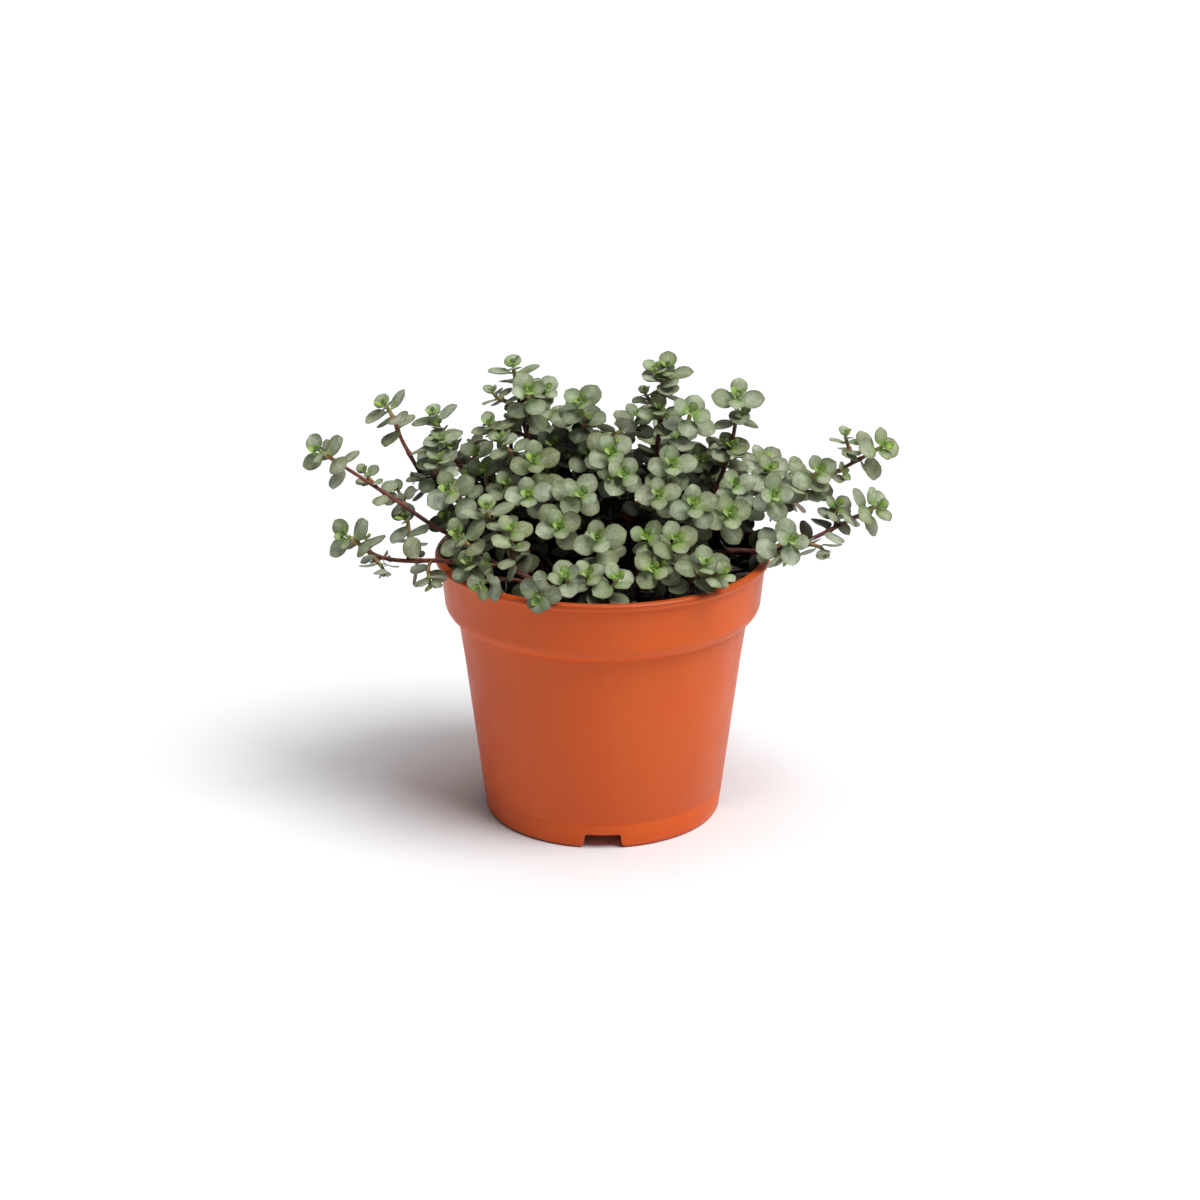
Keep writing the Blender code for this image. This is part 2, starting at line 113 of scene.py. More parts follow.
# Stems
ROOT_DEPTH = 4.0             # that a stem reaches into the soil
RISE = 4.0                   # that it goes straight up from it
PATH_STEP = 1.5              # between two points of a stem
WOOD_RADIUS = 1.0
TWIG_RADIUS = 0.74
TIP_RADIUS = 0.56
NODE_SWELLING = 0.4          # of the radius, where a pair of leaves sits
NODE_REACH = 1.1             # mm along the stem that the swelling fades in
YOUNG_REACH = 15.0           # below the tip, over which a stem turns from green to red-brown
BARE_START = 3.5             # of a shoot, without leaves
SHORTEST_SHOOT = 9.0
BEND_COST = 14.0             # mm of reach that a right-angled bend into a side shoot counts for
DROP_COST = 2.5              # the same for each mm that it starts less than 3 mm below its tip
BUD_CHANCE = 0.4             # of a small new shoot at an older pair

# Leaves
LEAF_COLUMNS = 4
# Outline of a leaf: share of its length, half width there
OUTLINE = ((0.0, 0.04), (0.1, 0.07), (0.16, 0.22), (0.28, 0.36), (0.46, 0.44), (0.65, 0.435), (0.82, 0.345),
           (0.94, 0.2), (1.0, 0.07))
TIP_ROUNDING = 0.02
LEAF_THICKNESS = 0.05        # of its length
BLADE_MIDDLE = 0.57          # of its length
# The leaves of a crown: number of the pair, distance below the tip, size, rise (degrees), youth
CROWN = ((-1, 0.0, 0.2, 72, 1.0), (0, 0.5, 0.40, 56, 0.85), (1, 1.7, 0.76, 32, 0.4),
         (2, 3.4, 0.98, 14, 0.16), (3, 6.2, 1.0, 2, 0.06), (4, 10.4, 0.92, -8, 0.0))
PAIR_TURN = 97               # degrees from one pair to the next
FIRST_SPACING = (8.0, 11.0)  # from the crown to the first older pair
OLD_SPACING = (8.5, 12.5)    # from one older pair to the next
STEM_CLEARANCE = 0.95        # of a blade from the middle of a stem
SMALL_LEAF = 6.0             # leaves below this length may touch the wood
LOST_CHANCE = 0.12           # that a leaf low on a shoot has fallen
FORM_COUNT = 14              # kinds of leaves
LIGHT = Vector((0.12, -0.3, 1)).normalized()   # that older leaves turn their upper side to
TO_LIGHT = (0.0, 0.0, 0.0, 0.2, 0.45, 0.75)    # how far each pair turns to it, from the tip down
DEEP_SHADE_DROP = (0.0, 0.0, 0.1, 0.22, 0.34)         # painted shade: how much darker each pair is, from the tip down, deep in the plant
CROWN_TURNED = (1.0, 1.0, 1.0, 0.7, 0.3, 0.0)  # how far each pair is turned to where the tip faces
# A leaf that would cut its neighbours is bent, turned or rolled (degrees) or made smaller
LEAF_TRIES = ((0, 0, 0, 1.0), (12, 0, 0, 1.0), (-12, 0, 0, 1.0), (0, 14, 8, 0.97), (0, -14, -8, 0.97),
              (24, 0, 0, 0.95), (-24, 0, 0, 0.93), (12, 22, 14, 0.88), (12, -22, -14, 0.88),
              (-14, 24, 0, 0.82), (-14, -24, 0, 0.82), (30, 10, 20, 0.74), (30, -10, -20, 0.74))

# A top is the end of a shoot: turn is how its first pair lies (degrees), leaf the length of its leaves
Top = namedtuple("Top", "tip facing turn leaf leaves_at bends", defaults=(None, ()))
Stem = namedtuple("Stem", "foot bends tops")

STEMS = (
    # left side, from the top down
    Stem((-20, 4), ((-40, 3, 108), (-61, 2, 121), (-70, 3, 135)),
         (Top((-77, 5, 150), (-0.55, -0.3, 0.8), 20, 9.4),)),
    Stem((-16, 12), ((-40, 10, 114), (-54, 9, 130)),
         (Top((-60, 8, 146), (-0.3, -0.2, 0.95), 0, 8.8),)),
    Stem((-22, -6), ((-40, -8, 101), (-56, -9, 107), (-72, -6, 117), (-84, -5, 125)),
         (Top((-100, -5, 136), (-0.55, -0.55, 0.6), 10, 9.4),)),
    Stem((-24, -20), ((-46, -27, 101), (-57, -23, 101), (-71, -17, 99), (-80, -14, 100)),
         (Top((-91, -12, 107), (-0.6, -0.6, 0.5), 20, 9.4),
          Top((-70, -6, 112), (-0.5, -0.4, 0.7), 30, 9.2, 0.62, ((-68, -12, 104),)))),
    Stem((-18, -12), ((-36, -12, 108),),
         (Top((-54, -15, 125), (-0.3, -0.75, 0.55), 10, 9.8),
          Top((-40, -30, 123), (0, -0.15, 1), 0, 9.4, 0.3, ((-32, -24, 108),)))),
    Stem((-14, -41), ((-28, -43, 103), (-40, -40, 108)),
         (Top((-50, -35, 115), (-0.45, -0.5, 0.75), 10, 9.4),
          Top((-31, -38, 118), (0, -0.5, 0.8), 30, 8.4, 0.4, ((-31, -42, 109),)))),
    # middle, from the left to the right
    Stem((-10, 4), ((-20, 8, 115), (-28, 12, 140)),
         (Top((-32, 18, 161), (-0.15, -0.1, 1), 0, 9.4),
          Top((-26, 4, 155), (0.05, -0.75, 0.65), 100, 9.4, 0.66, ((-26, 8, 144),)))),
    Stem((-10, -8), ((-18, -9, 115),),
         (Top((-24, -12, 135), (0, -0.75, 0.65), 0, 9.8),)),
    Stem((0, -26), ((1, -33, 103),),
         (Top((-2, -38, 115), (0, -0.8, 0.6), 10, 9.6),)),
    Stem((-4, -40), ((-8, -46, 97),),
         (Top((-13, -50, 105), (-0.1, -0.6, 0.8), 90, 8.8),
          Top((5, -50, 104), (0.15, -0.5, 0.85), 30, 8.8, 0.35, ((0, -48, 97),)))),
    Stem((-1, 3), ((-4, 4, 118),),
         (Top((-8, 4, 151), (-0.15, -0.6, 0.8), 40, 9.8),)),
    Stem((10, 8), ((18, 10, 125), (21, 12, 145)),
         (Top((23, 14, 161), (-0.05, -0.3, 0.95), -10, 9.4),)),
    Stem((12, -4), ((24, -2, 118),),
         (Top((31, 2, 148), (0.1, -0.75, 0.65), 60, 9.6),)),
    Stem((12, -30), ((19, -36, 101),),
         (Top((25, -38, 114), (0.1, -0.7, 0.7), 20, 9.4),)),
    # right side, from the top down
    Stem((20, 6), ((37, 8, 112), (45, 9, 130)),
         (Top((48, 10, 152), (0, -0.6, 0.8), -15, 9.6),)),
    Stem((24, 1), ((46, 1, 109), (62, 0, 117), (78, 0, 124)),
         (Top((99, 0, 136), (0.5, -0.65, 0.55), 0, 9.2),
          Top((76, -6, 129), (0.1, -0.75, 0.55), 20, 8.8, 0.45, ((64, -6, 119),)))),
    Stem((20, -18), ((31, -17, 106),),
         (Top((44, -24, 119), (0.1, -0.8, 0.55), 15, 9.6),)),
    Stem((22, -9), ((42, -13, 101), (58, -15, 102), (71, -14, 105)),
         (Top((97, -10, 117), (0.6, -0.6, 0.5), 30, 9.4),
          Top((66, -24, 109), (0.2, -0.8, 0.5), 80, 9.0, 0.5, ((60, -20, 105),)))),
    Stem((22, -36), ((29, -41, 99),),
         (Top((35, -46, 108), (0.2, -0.5, 0.8), 0, 9.6),)),
    # back, from the left to the right
    Stem((-18, 18), ((-38, 28, 110),),
         (Top((-62, 38, 126), (-0.5, 0.4, 0.75), 30, 9.4),
          Top((-34, 40, 134), (-0.2, 0.4, 0.9), 60, 9.4, 0.4, ((-34, 32, 116),)))),
    Stem((-9, 24), ((-15, 38, 108),),
         (Top((-24, 56, 118), (-0.3, 0.6, 0.7), 10, 9.4),)),
    Stem((4, 24), ((8, 38, 106),),
         (Top((12, 57, 114), (0.2, 0.7, 0.65), 40, 9.4),)),
    Stem((2, 14), ((3, 22, 116),),
         (Top((4, 34, 129), (0, -0.3, 0.95), 20, 9.2),)),      # its tip is 11 mm lower than in the CAD
    Stem((16, 20), ((32, 34, 108),),
         (Top((46, 48, 120), (0.4, 0.5, 0.75), 50, 9.4),
          Top((70, 28, 119), (0.6, 0.3, 0.75), 0, 9.4, 0.4, ((50, 30, 109),)))),
)

# Side shoots that the CAD leaves out: tip, way it faces, turn and length of its leaves
SIDE_TOPS = (
    # left side
    Top((-73, 0, 120), (-0.3, -0.6, 0.7), 0, 6.5),
    Top((-84.5, 0, 127), (-0.2, -0.5, 0.85), 30, 5.5),
    Top((-57, 0, 139), (-0.1, -0.2, 1), 10, 7.5),
    Top((-57, -5, 133), (-0.1, -0.3, 0.95), 40, 8.0),
    Top((-46, -42, 107), (-0.3, -0.5, 0.8), 15, 7.5),
    # middle
    Top((-39, 10, 153), (-0.3, 0, 1), 30, 7.0),
    Top((-40, 0, 144), (-0.3, -0.2, 0.95), 0, 8.4),
    Top((-36, -5, 140), (-0.2, -0.3, 0.9), 50, 8.0),
    Top((-33.5, -12, 126), (-0.1, -0.7, 0.7), 20, 7.0),
    Top((-26, -22, 125), (0, -0.75, 0.6), 0, 8.8),
    Top((-20, 10, 154), (0.2, -0.6, 0.75), 45, 7.5),
    Top((-15, -33, 117), (0, -0.8, 0.6), 10, 9.0),
    Top((-7.5, -25, 126), (0, -0.75, 0.65), 45, 9.0),
    Top((-5, 0, 133), (0, -0.7, 0.7), 20, 8.4),
    Top((-5, -48, 105), (-0.1, -0.6, 0.8), 30, 8.0),
    Top((3, -10, 137), (0, -0.8, 0.6), 20, 9.0),
    Top((7, -18, 131), (0.1, -0.75, 0.65), 45, 8.6),
    Top((7, 5, 142), (0.1, 0.5, 0.85), 0, 8.8),
    Top((15, 18, 151), (-0.1, -0.2, 1), 10, 6.5),
    Top((18.5, 12, 161), (-0.1, -0.4, 0.9), 30, 7.6),
    Top((20, 8, 147.5), (0, -0.5, 0.85), 0, 8.2),
    Top((14.5, -34, 114), (0, -0.8, 0.6), 60, 8.0),
    Top((17, -46, 106), (0, -0.75, 0.65), 45, 8.4),
    Top((19, -24, 126), (0, -0.8, 0.6), 0, 8.6),
    Top((24, -14, 134), (0.1, -0.7, 0.7), 0, 9.0),
    Top((31, -28, 124), (0.1, -0.8, 0.6), 0, 8.8),
    # right side
    Top((41, -50, 106), (0.3, -0.5, 0.8), 45, 7.0),
    Top((46, -10, 125), (0.1, -0.7, 0.7), 20, 8.0),
    Top((46, 8, 134), (0.1, -0.5, 0.85), 30, 8.8),
    Top((59, -2, 128), (0.2, -0.6, 0.75), 30, 9.2),
    Top((60, -15, 122.5), (0.3, -0.8, 0.4), 90, 9.0),
    Top((69.5, 5, 125.5), (0.3, -0.4, 0.85), 20, 8.2),
    Top((75, -5, 121), (0.3, -0.7, 0.6), 0, 8.8),
    Top((83, -5, 116), (0.3, -0.6, 0.7), 40, 7.2),
    Top((86, 5, 139), (0.1, -0.1, 1), 0, 7.0),
    # that droop past the lip
    Top((-77, -18, 95), (0, -0.4, -0.9), 0, 7.6),
    Top((-60, -31, 95), (0.1, -0.5, -0.8), 30, 7.6),
    Top((-42, -49, 101), (-0.5, -0.7, -0.3), 20, 7.8),
    Top((-22, -62, 101), (-0.3, -0.9, -0.2), 60, 7.4),
    Top((64, -21, 101), (0.3, -0.5, -0.8), 40, 7.8),
    Top((78, -15, 101), (0.1, -0.4, -0.9), 0, 8.0),
)

# Side shoots low inside the plant
INNER_TOPS = (
    Top((-38, 8, 118), (-0.2, -0.4, 0.9), 0, 9.0),
    Top((-20, 2, 116), (0, -0.5, 0.9), 30, 9.2),
    Top((14, -4, 118), (0, -0.5, 0.9), 10, 9.2),
    Top((30, 2, 114), (0.1, -0.5, 0.9), 45, 9.2),
    Top((42, 10, 116), (0.2, -0.4, 0.9), 75, 9.0),
    Top((-30, 20, 124), (-0.2, -0.3, 0.9), 20, 9.2),
    Top((-12, 18, 126), (0, -0.4, 0.9), 50, 9.2),
    Top((6, 16, 124), (0, -0.4, 0.9), 0, 9.2),
    Top((24, 18, 126), (0, -0.4, 0.9), 30, 9.2),
    Top((38, 22, 118), (0.2, -0.3, 0.9), 60, 9.2),
    Top((-42, 32, 113), (-0.2, -0.2, 0.9), 0, 9.2),
    Top((-22, 38, 114), (0, -0.4, 0.9), 45, 9.2),
    Top((-3, 34, 112), (0, -0.5, 0.9), 15, 9.2),
    Top((16, 38, 112), (0, -0.5, 0.9), 70, 9.2),
    Top((36, 38, 111), (0.1, -0.4, 0.9), 30, 9.2),
    Top((-50, 12, 108), (-0.4, -0.4, 0.8), 10, 9.0),
    Top((52, 14, 108), (0.4, -0.4, 0.8), 0, 9.0),
    Top((-8, 6, 104), (0, -0.7, 0.7), 45, 9.2),
    Top((-30, 4, 102), (-0.1, -0.7, 0.7), 0, 9.0),
    Top((20, 14, 106), (0, -0.7, 0.7), 50, 9.2),
    Top((7, 28, 108), (0, -0.7, 0.7), 30, 9.2),
    Top((-10, 30, 106), (0, -0.7, 0.7), 0, 9.2),
    Top((-24, 24, 106), (0, -0.7, 0.7), 60, 9.2),
    Top((28, 30, 106), (0, -0.7, 0.7), 20, 9.2),
    Top((48, 26, 106), (0.2, -0.7, 0.7), 45, 9.2),
    Top((-40, 20, 103), (-0.2, -0.7, 0.7), 15, 9.2),
    Top((0, 22, 102), (0, -0.7, 0.7), 20, 9.2),
    Top((-18, 20, 131), (0, -0.6, 0.8), 40, 9.2),
    Top((-13, 12, 118), (0, -0.7, 0.7), 0, 9.2),
    Top((-30, 8, 112), (0, -0.7, 0.7), 30, 9.2),
    Top((-42, 12, 124), (-0.2, -0.6, 0.8), 60, 9.2),
    Top((-56, 2, 109), (-0.3, -0.6, 0.7), 0, 9.2),
    Top((-54, -10, 99), (-0.3, -0.6, 0.7), 45, 7.6),
    Top((35, 14, 127), (0.1, -0.6, 0.8), 20, 9.2),
    Top((-4, 20, 118), (0, -0.7, 0.7), 60, 9.2),
)

# The same on the back of the plant
BACK_TOPS = (
    Top((-60, 20, 130), (-0.4, -0.3, 0.9), 20, 9.0),
    Top((-48, 46, 108), (-0.4, 0.8, 0.5), 0, 9.2),
    Top((-46, 28, 125), (-0.3, -0.4, 0.9), 45, 9.0),
    Top((-48, 50, 122), (-0.4, 0.6, 0.7), 15, 8.6),
    Top((-27, 26, 143), (-0.1, -0.5, 0.85), 10, 8.6),
    Top((-18, 36, 136), (-0.1, -0.5, 0.85), 60, 9.2),
    Top((-34, 55, 110), (-0.3, 0.9, 0.4), 30, 9.0),
    Top((-10, 48, 128), (-0.1, 0, 0.9), 20, 9.0),
    Top((-5, 58, 106), (0, 0.9, 0.4), 45, 9.2),
    Top((-10, 20, 143), (0, -0.5, 0.85), 0, 9.0),
    Top((6, 44, 126), (0.1, 0, 0.9), 75, 9.2),
    Top((13, 26, 140), (0.1, -0.5, 0.85), 30, 8.8),
    Top((22, 38, 130), (0.2, -0.3, 0.9), 10, 9.4),
    Top((28, 54, 117), (0.2, 0.8, 0.6), 40, 9.2),
    Top((28, 24, 133), (0.1, -0.5, 0.85), 60, 9.0),
    Top((28, 57, 104), (0.3, 0.9, 0.3), 0, 8.8),
    Top((43, 36, 121), (0.2, -0.5, 0.85), 15, 9.0),
    Top((50, 38, 122), (0.4, 0.2, 0.8), 50, 9.0),
    Top((58, 22, 125), (0.3, -0.4, 0.85), 30, 9.0),
    Top((58, 46, 108), (0.5, 0.7, 0.5), 10, 9.2),
    Top((72, 36, 107), (0.7, 0.5, 0.5), 40, 9.0),
    Top((-66, 14, 120), (-0.6, 0.1, 0.8), 30, 9.0),
    Top((40, 50, 122), (0.3, 0.4, 0.8), 0, 8.6),
)

# Light: one large soft source from the right and a little from the front, and a white room
SUN_FROM = (0.84, -0.6, 1.75)
SUN_STRENGTH = 2.75
SUN_SPREAD = 34              # degrees
CEILING_STRENGTH = 0.95
CEILING_SPREAD = 40
ROOM_SIDE = (0.85, 0.5, 0.0)  # bright side of the room
ROOM_DIM, ROOM_BRIGHT = 0.02, 0.52     # strength of its light from the other side and from this one
CAMERA_PLACE = (-0.001, -0.900, 0.4016)      # metres
CAMERA_TILT = 0.345          # below level (radians)
LENS, SENSOR = 79.7, 36      # mm


# Shared helpers

def srgb(text):
    """A hex colour as linear values."""
    values = [int(text[i:i + 2], 16) / 255 for i in (1, 3, 5)]
    linear = [v / 12.92 if v <= 0.04045 else ((v + 0.055) / 1.055) ** 2.4 for v in values]
    return (*linear, 1.0)


def node(tree, kind, inputs=None, **settings):
    """Adds a shader node with its settings; inputs are plain values or other nodes' outputs."""
    made = tree.nodes.new(kind)
    for key, value in settings.items():
        setattr(made, key, value)
    for key, value in (inputs or {}).items():
        if isinstance(value, bpy.types.NodeSocket):
            tree.links.new(value, made.inputs[key])
        else:
            made.inputs[key].default_value = value
    return made


MIX_FACTOR, MIX_A, MIX_B, MIX_RESULT = 0, 6, 7, 2    # sockets of a Mix node that mixes colours


def start_material(name, roughness, ior, specular=0.5):
    made = bpy.data.materials.new(name)
    made.use_nodes = True
    shader = made.node_tree.nodes["Principled BSDF"]
    shader.inputs["Roughness"].default_value = roughness
    shader.inputs["IOR"].default_value = ior
    shader.inputs["Specular IOR Level"].default_value = specular
    return made, made.node_tree, shader


RANGE = ("Value", "From Min", "From Max", "To Min", "To Max")    # sockets of a Map Range node


def layered(tree, colour, *layers):
    """Lays paints over a colour. A layer is a pattern, two values of the pattern, how much the paint
    covers what is below it at each of the two, and the paint."""
    for *span, paint in layers:
        cover = node(tree, "ShaderNodeMapRange", dict(zip(RANGE, span))).outputs["Result"]
        over = srgb(paint) if isinstance(paint, str) else paint
        mixed = node(tree, "ShaderNodeMix", {MIX_FACTOR: cover, MIX_A: colour, MIX_B: over}, data_type="RGBA")
        colour = mixed.outputs[MIX_RESULT]
    return colour


def product(tree, *spans):
    """Two patterns multiplied, each brought to its own range first."""
    parts = [node(tree, "ShaderNodeMapRange", dict(zip(RANGE, span))).outputs["Result"] for span in spans]
    return node(tree, "ShaderNodeMath", dict(enumerate(parts)), operation="MULTIPLY").outputs["Value"]


def finish(tree, shader, colour, wear, relief):
    """Gives a shader its colour, a roughness that follows a pattern, and a relief: its height pattern,
    its depth in millimetres and its strength."""
    rough = node(tree, "ShaderNodeMapRange", dict(zip(RANGE, wear)))
    height, depth, strength = relief
    bump = node(tree, "ShaderNodeBump", {"Height": height, "Strength": strength, "Distance": depth * MM})
    tree.links.new(colour, shader.inputs["Base Color"])
    tree.links.new(rough.outputs["Result"], shader.inputs["Roughness"])
    tree.links.new(bump.outputs["Normal"], shader.inputs["Normal"])


def grain(tree, size_mm, detail=2.0, stretch=(1, 1, 1), roughness=0.5):
    """A noise whose lumps are about this size, on the object's own coordinates."""
    place = node(tree, "ShaderNodeTexCoord").outputs["Object"]
    if stretch != (1, 1, 1):
        place = node(tree, "ShaderNodeMapping", {"Vector": place, "Scale": stretch}).outputs["Vector"]
    return node(tree, "ShaderNodeTexNoise", {"Vector": place, "Scale": 1 / (size_mm * MM), "Detail": detail,
                                             "Roughness": roughness}).outputs["Fac"]


def add_piece(name, mesh, look, slot, *nodes):
    """A finished piece: its object, material, body, record slot and the CAD nodes that it stands for. The
    slot is not used.
    """
    mesh.name = name
    piece = bpy.data.objects.new(name, mesh)
    bpy.context.scene.collection.objects.link(piece)
    mesh.materials.clear()
    mesh.materials.append(look)
    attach(piece, "root")
    if nodes:
        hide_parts(*nodes)
    return piece


def smooth(mesh, angle=40):
    mesh.shade_smooth()
    mesh.set_sharp_from_angle(angle=math.radians(angle))
    return mesh


def mesh_from(bm, name):
    mesh = bpy.data.meshes.new(name)
    bm.to_mesh(mesh)
    bm.free()
    return mesh


def evaluated_mesh(source):
    """The finished mesh of an object with modifiers or of a curve, which is removed."""
    bpy.context.view_layer.update()
    depsgraph = bpy.context.evaluated_depsgraph_get()
    mesh = bpy.data.meshes.new_from_object(source.evaluated_get(depsgraph))
    bpy.data.objects.remove(source)
    return mesh


def placed(name, data):
    made = bpy.data.objects.new(name, data)
    bpy.context.scene.collection.objects.link(made)
    return made


# Materials

def terracotta_polypropylene():
    """Injection-moulded polypropylene: an even orange brown, satin, faintly streaked by the flow of the
    melt and clouded by handling and dry water, with the very fine skin of the mould. Its inside above
    the soil and the top of its lip are darkened, partly as a stain of damp peat and partly as painted shade."""
    made, tree, shader = start_material("terracotta_polypropylene", 0.42, 1.49, 0.3)
    flow = grain(tree, 34, 3.0, (1, 1, 0.25))
    cloud = grain(tree, 9, 4.0)
    # Peat dust and painted shade: darkens the inside wall above the soil almost to black brown, and the top
    # of the lip a third of the way
    dust_and_shade = node(tree, "ShaderNodeAttribute", attribute_name="peat_dust_and_shade").outputs["Fac"]
    colour = layered(tree, srgb("#d05212"),
                     (flow, 0.35, 0.65, 0, 1, "#d55a18"),
                     (cloud, 0.5, 0.8, 0, 0.2, "#cf5f2c"),
                     (grain(tree, 1.1), 0.7, 0.8, 0, 0.2, "#d27a4c"),
                     (dust_and_shade, 0, 1, 0, 1, "#24160f"))
    finish(tree, shader, colour, (cloud, 0.3, 0.75, 0.38, 0.52), (grain(tree, 0.5), 0.03, 0.5))
    return made


def damp_peat(name, light="#15100d"):
    """Damp peat: near-black crumbs and fibres with browner dry spots, with no shine but a little wetness."""
    made, tree, shader = start_material(name, 0.9, 1.4, 0.3)
    lumps = grain(tree, 3.0, 4.0, roughness=0.7)
    fine = grain(tree, 0.8, 3.0, roughness=0.7)
    colour = layered(tree, srgb("#060504"),
                     (lumps, 0.35, 0.7, 0, 1, light),
                     (fine, 0.68, 0.8, 0, 0.6, "#4c423a"))
    finish(tree, shader, colour, (lumps, 0.3, 0.7, 0.72, 0.98), (fine, 0.5, 0.9))
    return made


def expanded_perlite():
    """Perlite, volcanic glass popped by heat: pale grey foamed grains, stained by the peat."""
    made, tree, shader = start_material("expanded_perlite", 0.85, 1.5, 0.3)
    stain = grain(tree, 1.6, 3.0)
    colour = layered(tree, srgb("#b9b3aa"), (stain, 0.4, 0.62, 0, 1, "#5f554c"))
    finish(tree, shader, colour, (stain, 0.3, 0.7, 0.75, 0.95), (grain(tree, 0.5), 0.2, 0.8))
    return made


def dried_leaf():
    """Withered leaves: papery, curled, grey-brown with pale edges."""
    made, tree, shader = start_material("dried_leaf", 0.8, 1.45, 0.3)
    blotch = grain(tree, 2.2, 3.0)
    part = node(tree, "ShaderNodeAttribute", attribute_name="leaf_part").outputs["Color"]
    margin = node(tree, "ShaderNodeSeparateColor", {"Color": part}).outputs["Green"]
    colour = layered(tree, srgb("#4a3a2b"),
                     (blotch, 0.35, 0.65, 0, 1, "#7f7163"),
                     (margin, 0.6, 1, 0, 0.6, "#b9aea0"))
    finish(tree, shader, colour, (blotch, 0.3, 0.7, 0.7, 0.9), (grain(tree, 0.6), 0.2, 0.6))
    return made


def pilea_bark():
    """Pilea stems: smooth red-brown skin, streaked lengthways, that is olive and fresh near the tips, and
    darkened to near-black as painted shade where the leaves hide the sky.
    """
    made, tree, shader = start_material("pilea_bark", 0.5, 1.42, 0.4)
    life_and_shade = node(tree, "ShaderNodeAttribute", attribute_name="stem_life_and_shade").outputs["Color"]
    youth, light, _ = node(tree, "ShaderNodeSeparateColor", {"Color": life_and_shade}).outputs
    streak = grain(tree, 1.4, 3.0)
    old = layered(tree, srgb("#552722"), (streak, 0.35, 0.68, 0, 1, "#84493a"))
    tan = layered(tree, srgb("#8a5a3c"), (streak, 0.35, 0.65, 0, 1, "#a98158"))
    green = layered(tree, srgb("#86924f"), (streak, 0.35, 0.65, 0, 1, "#a3a86a"))
    # Painted shade: wood that sees little sky between the leaves is darkened to near-black
    colour = layered(tree, old,
                     (youth, 0.15, 0.6, 0, 1, tan),
                     (youth, 0.6, 0.95, 0, 1, green),
                     (light, 0.1, 0.6, 1, 0, "#0f0807"))
    finish(tree, shader, colour, (streak, 0.3, 0.7, 0.42, 0.62), (grain(tree, 0.7), 0.12, 0.5))
    return made


def frosted_leaf():
    """Pilea leaves: thin-fleshed blades whose grey-green upper side is frosted with tiny pale crystals,
    fresh green at the foot of the young ones, thinly rimmed with brown, and mauve grey underneath.
    Painted shade darkens them deep in the plant and where they see little sky; each blade has a painted
    highlight in its middle and painted shade towards its margin, and the underside is kept pale as painted
    light."""
    made, tree, shader = start_material("frosted_leaf", 0.55, 1.42, 0.25)
    life_and_shade, part = (node(tree, "ShaderNodeAttribute", attribute_name=name).outputs["Color"]
                  for name in ("leaf_life_and_shade", "leaf_part"))
    tone, youth, hue = node(tree, "ShaderNodeSeparateColor", {"Color": life_and_shade}).outputs
    along, margin, underside = node(tree, "ShaderNodeSeparateColor", {"Color": part}).outputs
    cloud = grain(tree, 2.6, 2.0)
    # real crystals are 0.2 mm apart: these are drawn at 0.55 mm so that they show
    speckle = grain(tree, 0.55, 2.0)

    # Painted shade: a leaf that sees little sky between the others is darkened towards near-black
    light = node(tree, "ShaderNodeAttribute", attribute_name="leaf_life_and_shade").outputs["Alpha"]
    frost = product(tree, (speckle, 0.42, 0.7, 0, 0.5), (tone, 0, 0.7, 0.25, 1))
    foot = product(tree, (along, 0.5, 0.18, 0, 1), (youth, 0.05, 0.45, 0, 1))
    # Underside: mauve grey, darker with the tone, and kept pale as painted light for the light that shines
    # through the leaf
    below = layered(tree, srgb("#686850"),
                    (tone, 0, 1, 0, 1, "#a9a996"),
                    (speckle, 0.4, 0.7, 0, 0.4, "#b3b3a4"))
    # Tone: leaves differ at random, and are darker low on their shoots and deep in the plant as painted shade
    colour = layered(tree, srgb("#343c16"),
                     (tone, 0, 0.5, 0, 1, "#7e8762"),
                     (tone, 0.5, 1, 0, 1, "#acb39d"),
                     (hue, 0.5, 0, 0, 0.35, "#8c8a4c"),
                     (hue, 0.5, 1, 0, 0.35, "#849a82"),
                     (frost, 0, 1, 0, 1, "#c6cbbc"),
                     # Frost and painted highlight: the middle of the blade is paler
                     (margin, 0.5, 0.2, 0, 0.3, "#b9c0b0"),
                     (youth, 0.1, 0.5, 0, 0.45, "#a1b283"),
                     (youth, 0.6, 1, 0, 0.9, "#93b83c"),
                     (foot, 0, 1, 0, 1, "#76a528"),
                     (cloud, 0.35, 0.65, 0, 0.4, "#58633a"),
                     # Painted shade: the blade darkens towards its margin; the thin brown rim below is the
                     # leaf's own colour
                     (margin, 0.55, 1, 0, 0.5, "#55603f"),
                     (margin, 0.88, 1, 0, 0.5, "#5d5238"),
                     (underside, 0, 1, 0, 1, below),
                     # Painted shade, by how much sky the leaf sees
                     (light, 0.08, 0.6, 1, 0, "#0d1003"))
    finish(tree, shader, colour, (speckle, 0.3, 0.7, 0.48, 0.66), (speckle, 0.1, 0.35))
    shader.inputs["Sheen Weight"].default_value = 0.05
    shader.inputs["Sheen Roughness"].default_value = 0.5
    return made


# Pot

def arc(centre, radius, start, end, steps):
    """Points on an arc in the (radius, height) plane, angles in degrees from the outward way."""
    points = []
    for i in range(steps + 1):
        angle = math.radians(start + (end - start) * i / steps)
        points.append((centre[0] + radius * math.cos(angle), centre[1] + radius * math.sin(angle)))
    return points


def body_radius(height):
    share = (height - FOOT_ROUNDING) / (BODY_TOP_HEIGHT - FOOT_ROUNDING)
    return FOOT_RADIUS + (BODY_TOP_RADIUS - FOOT_RADIUS) * share


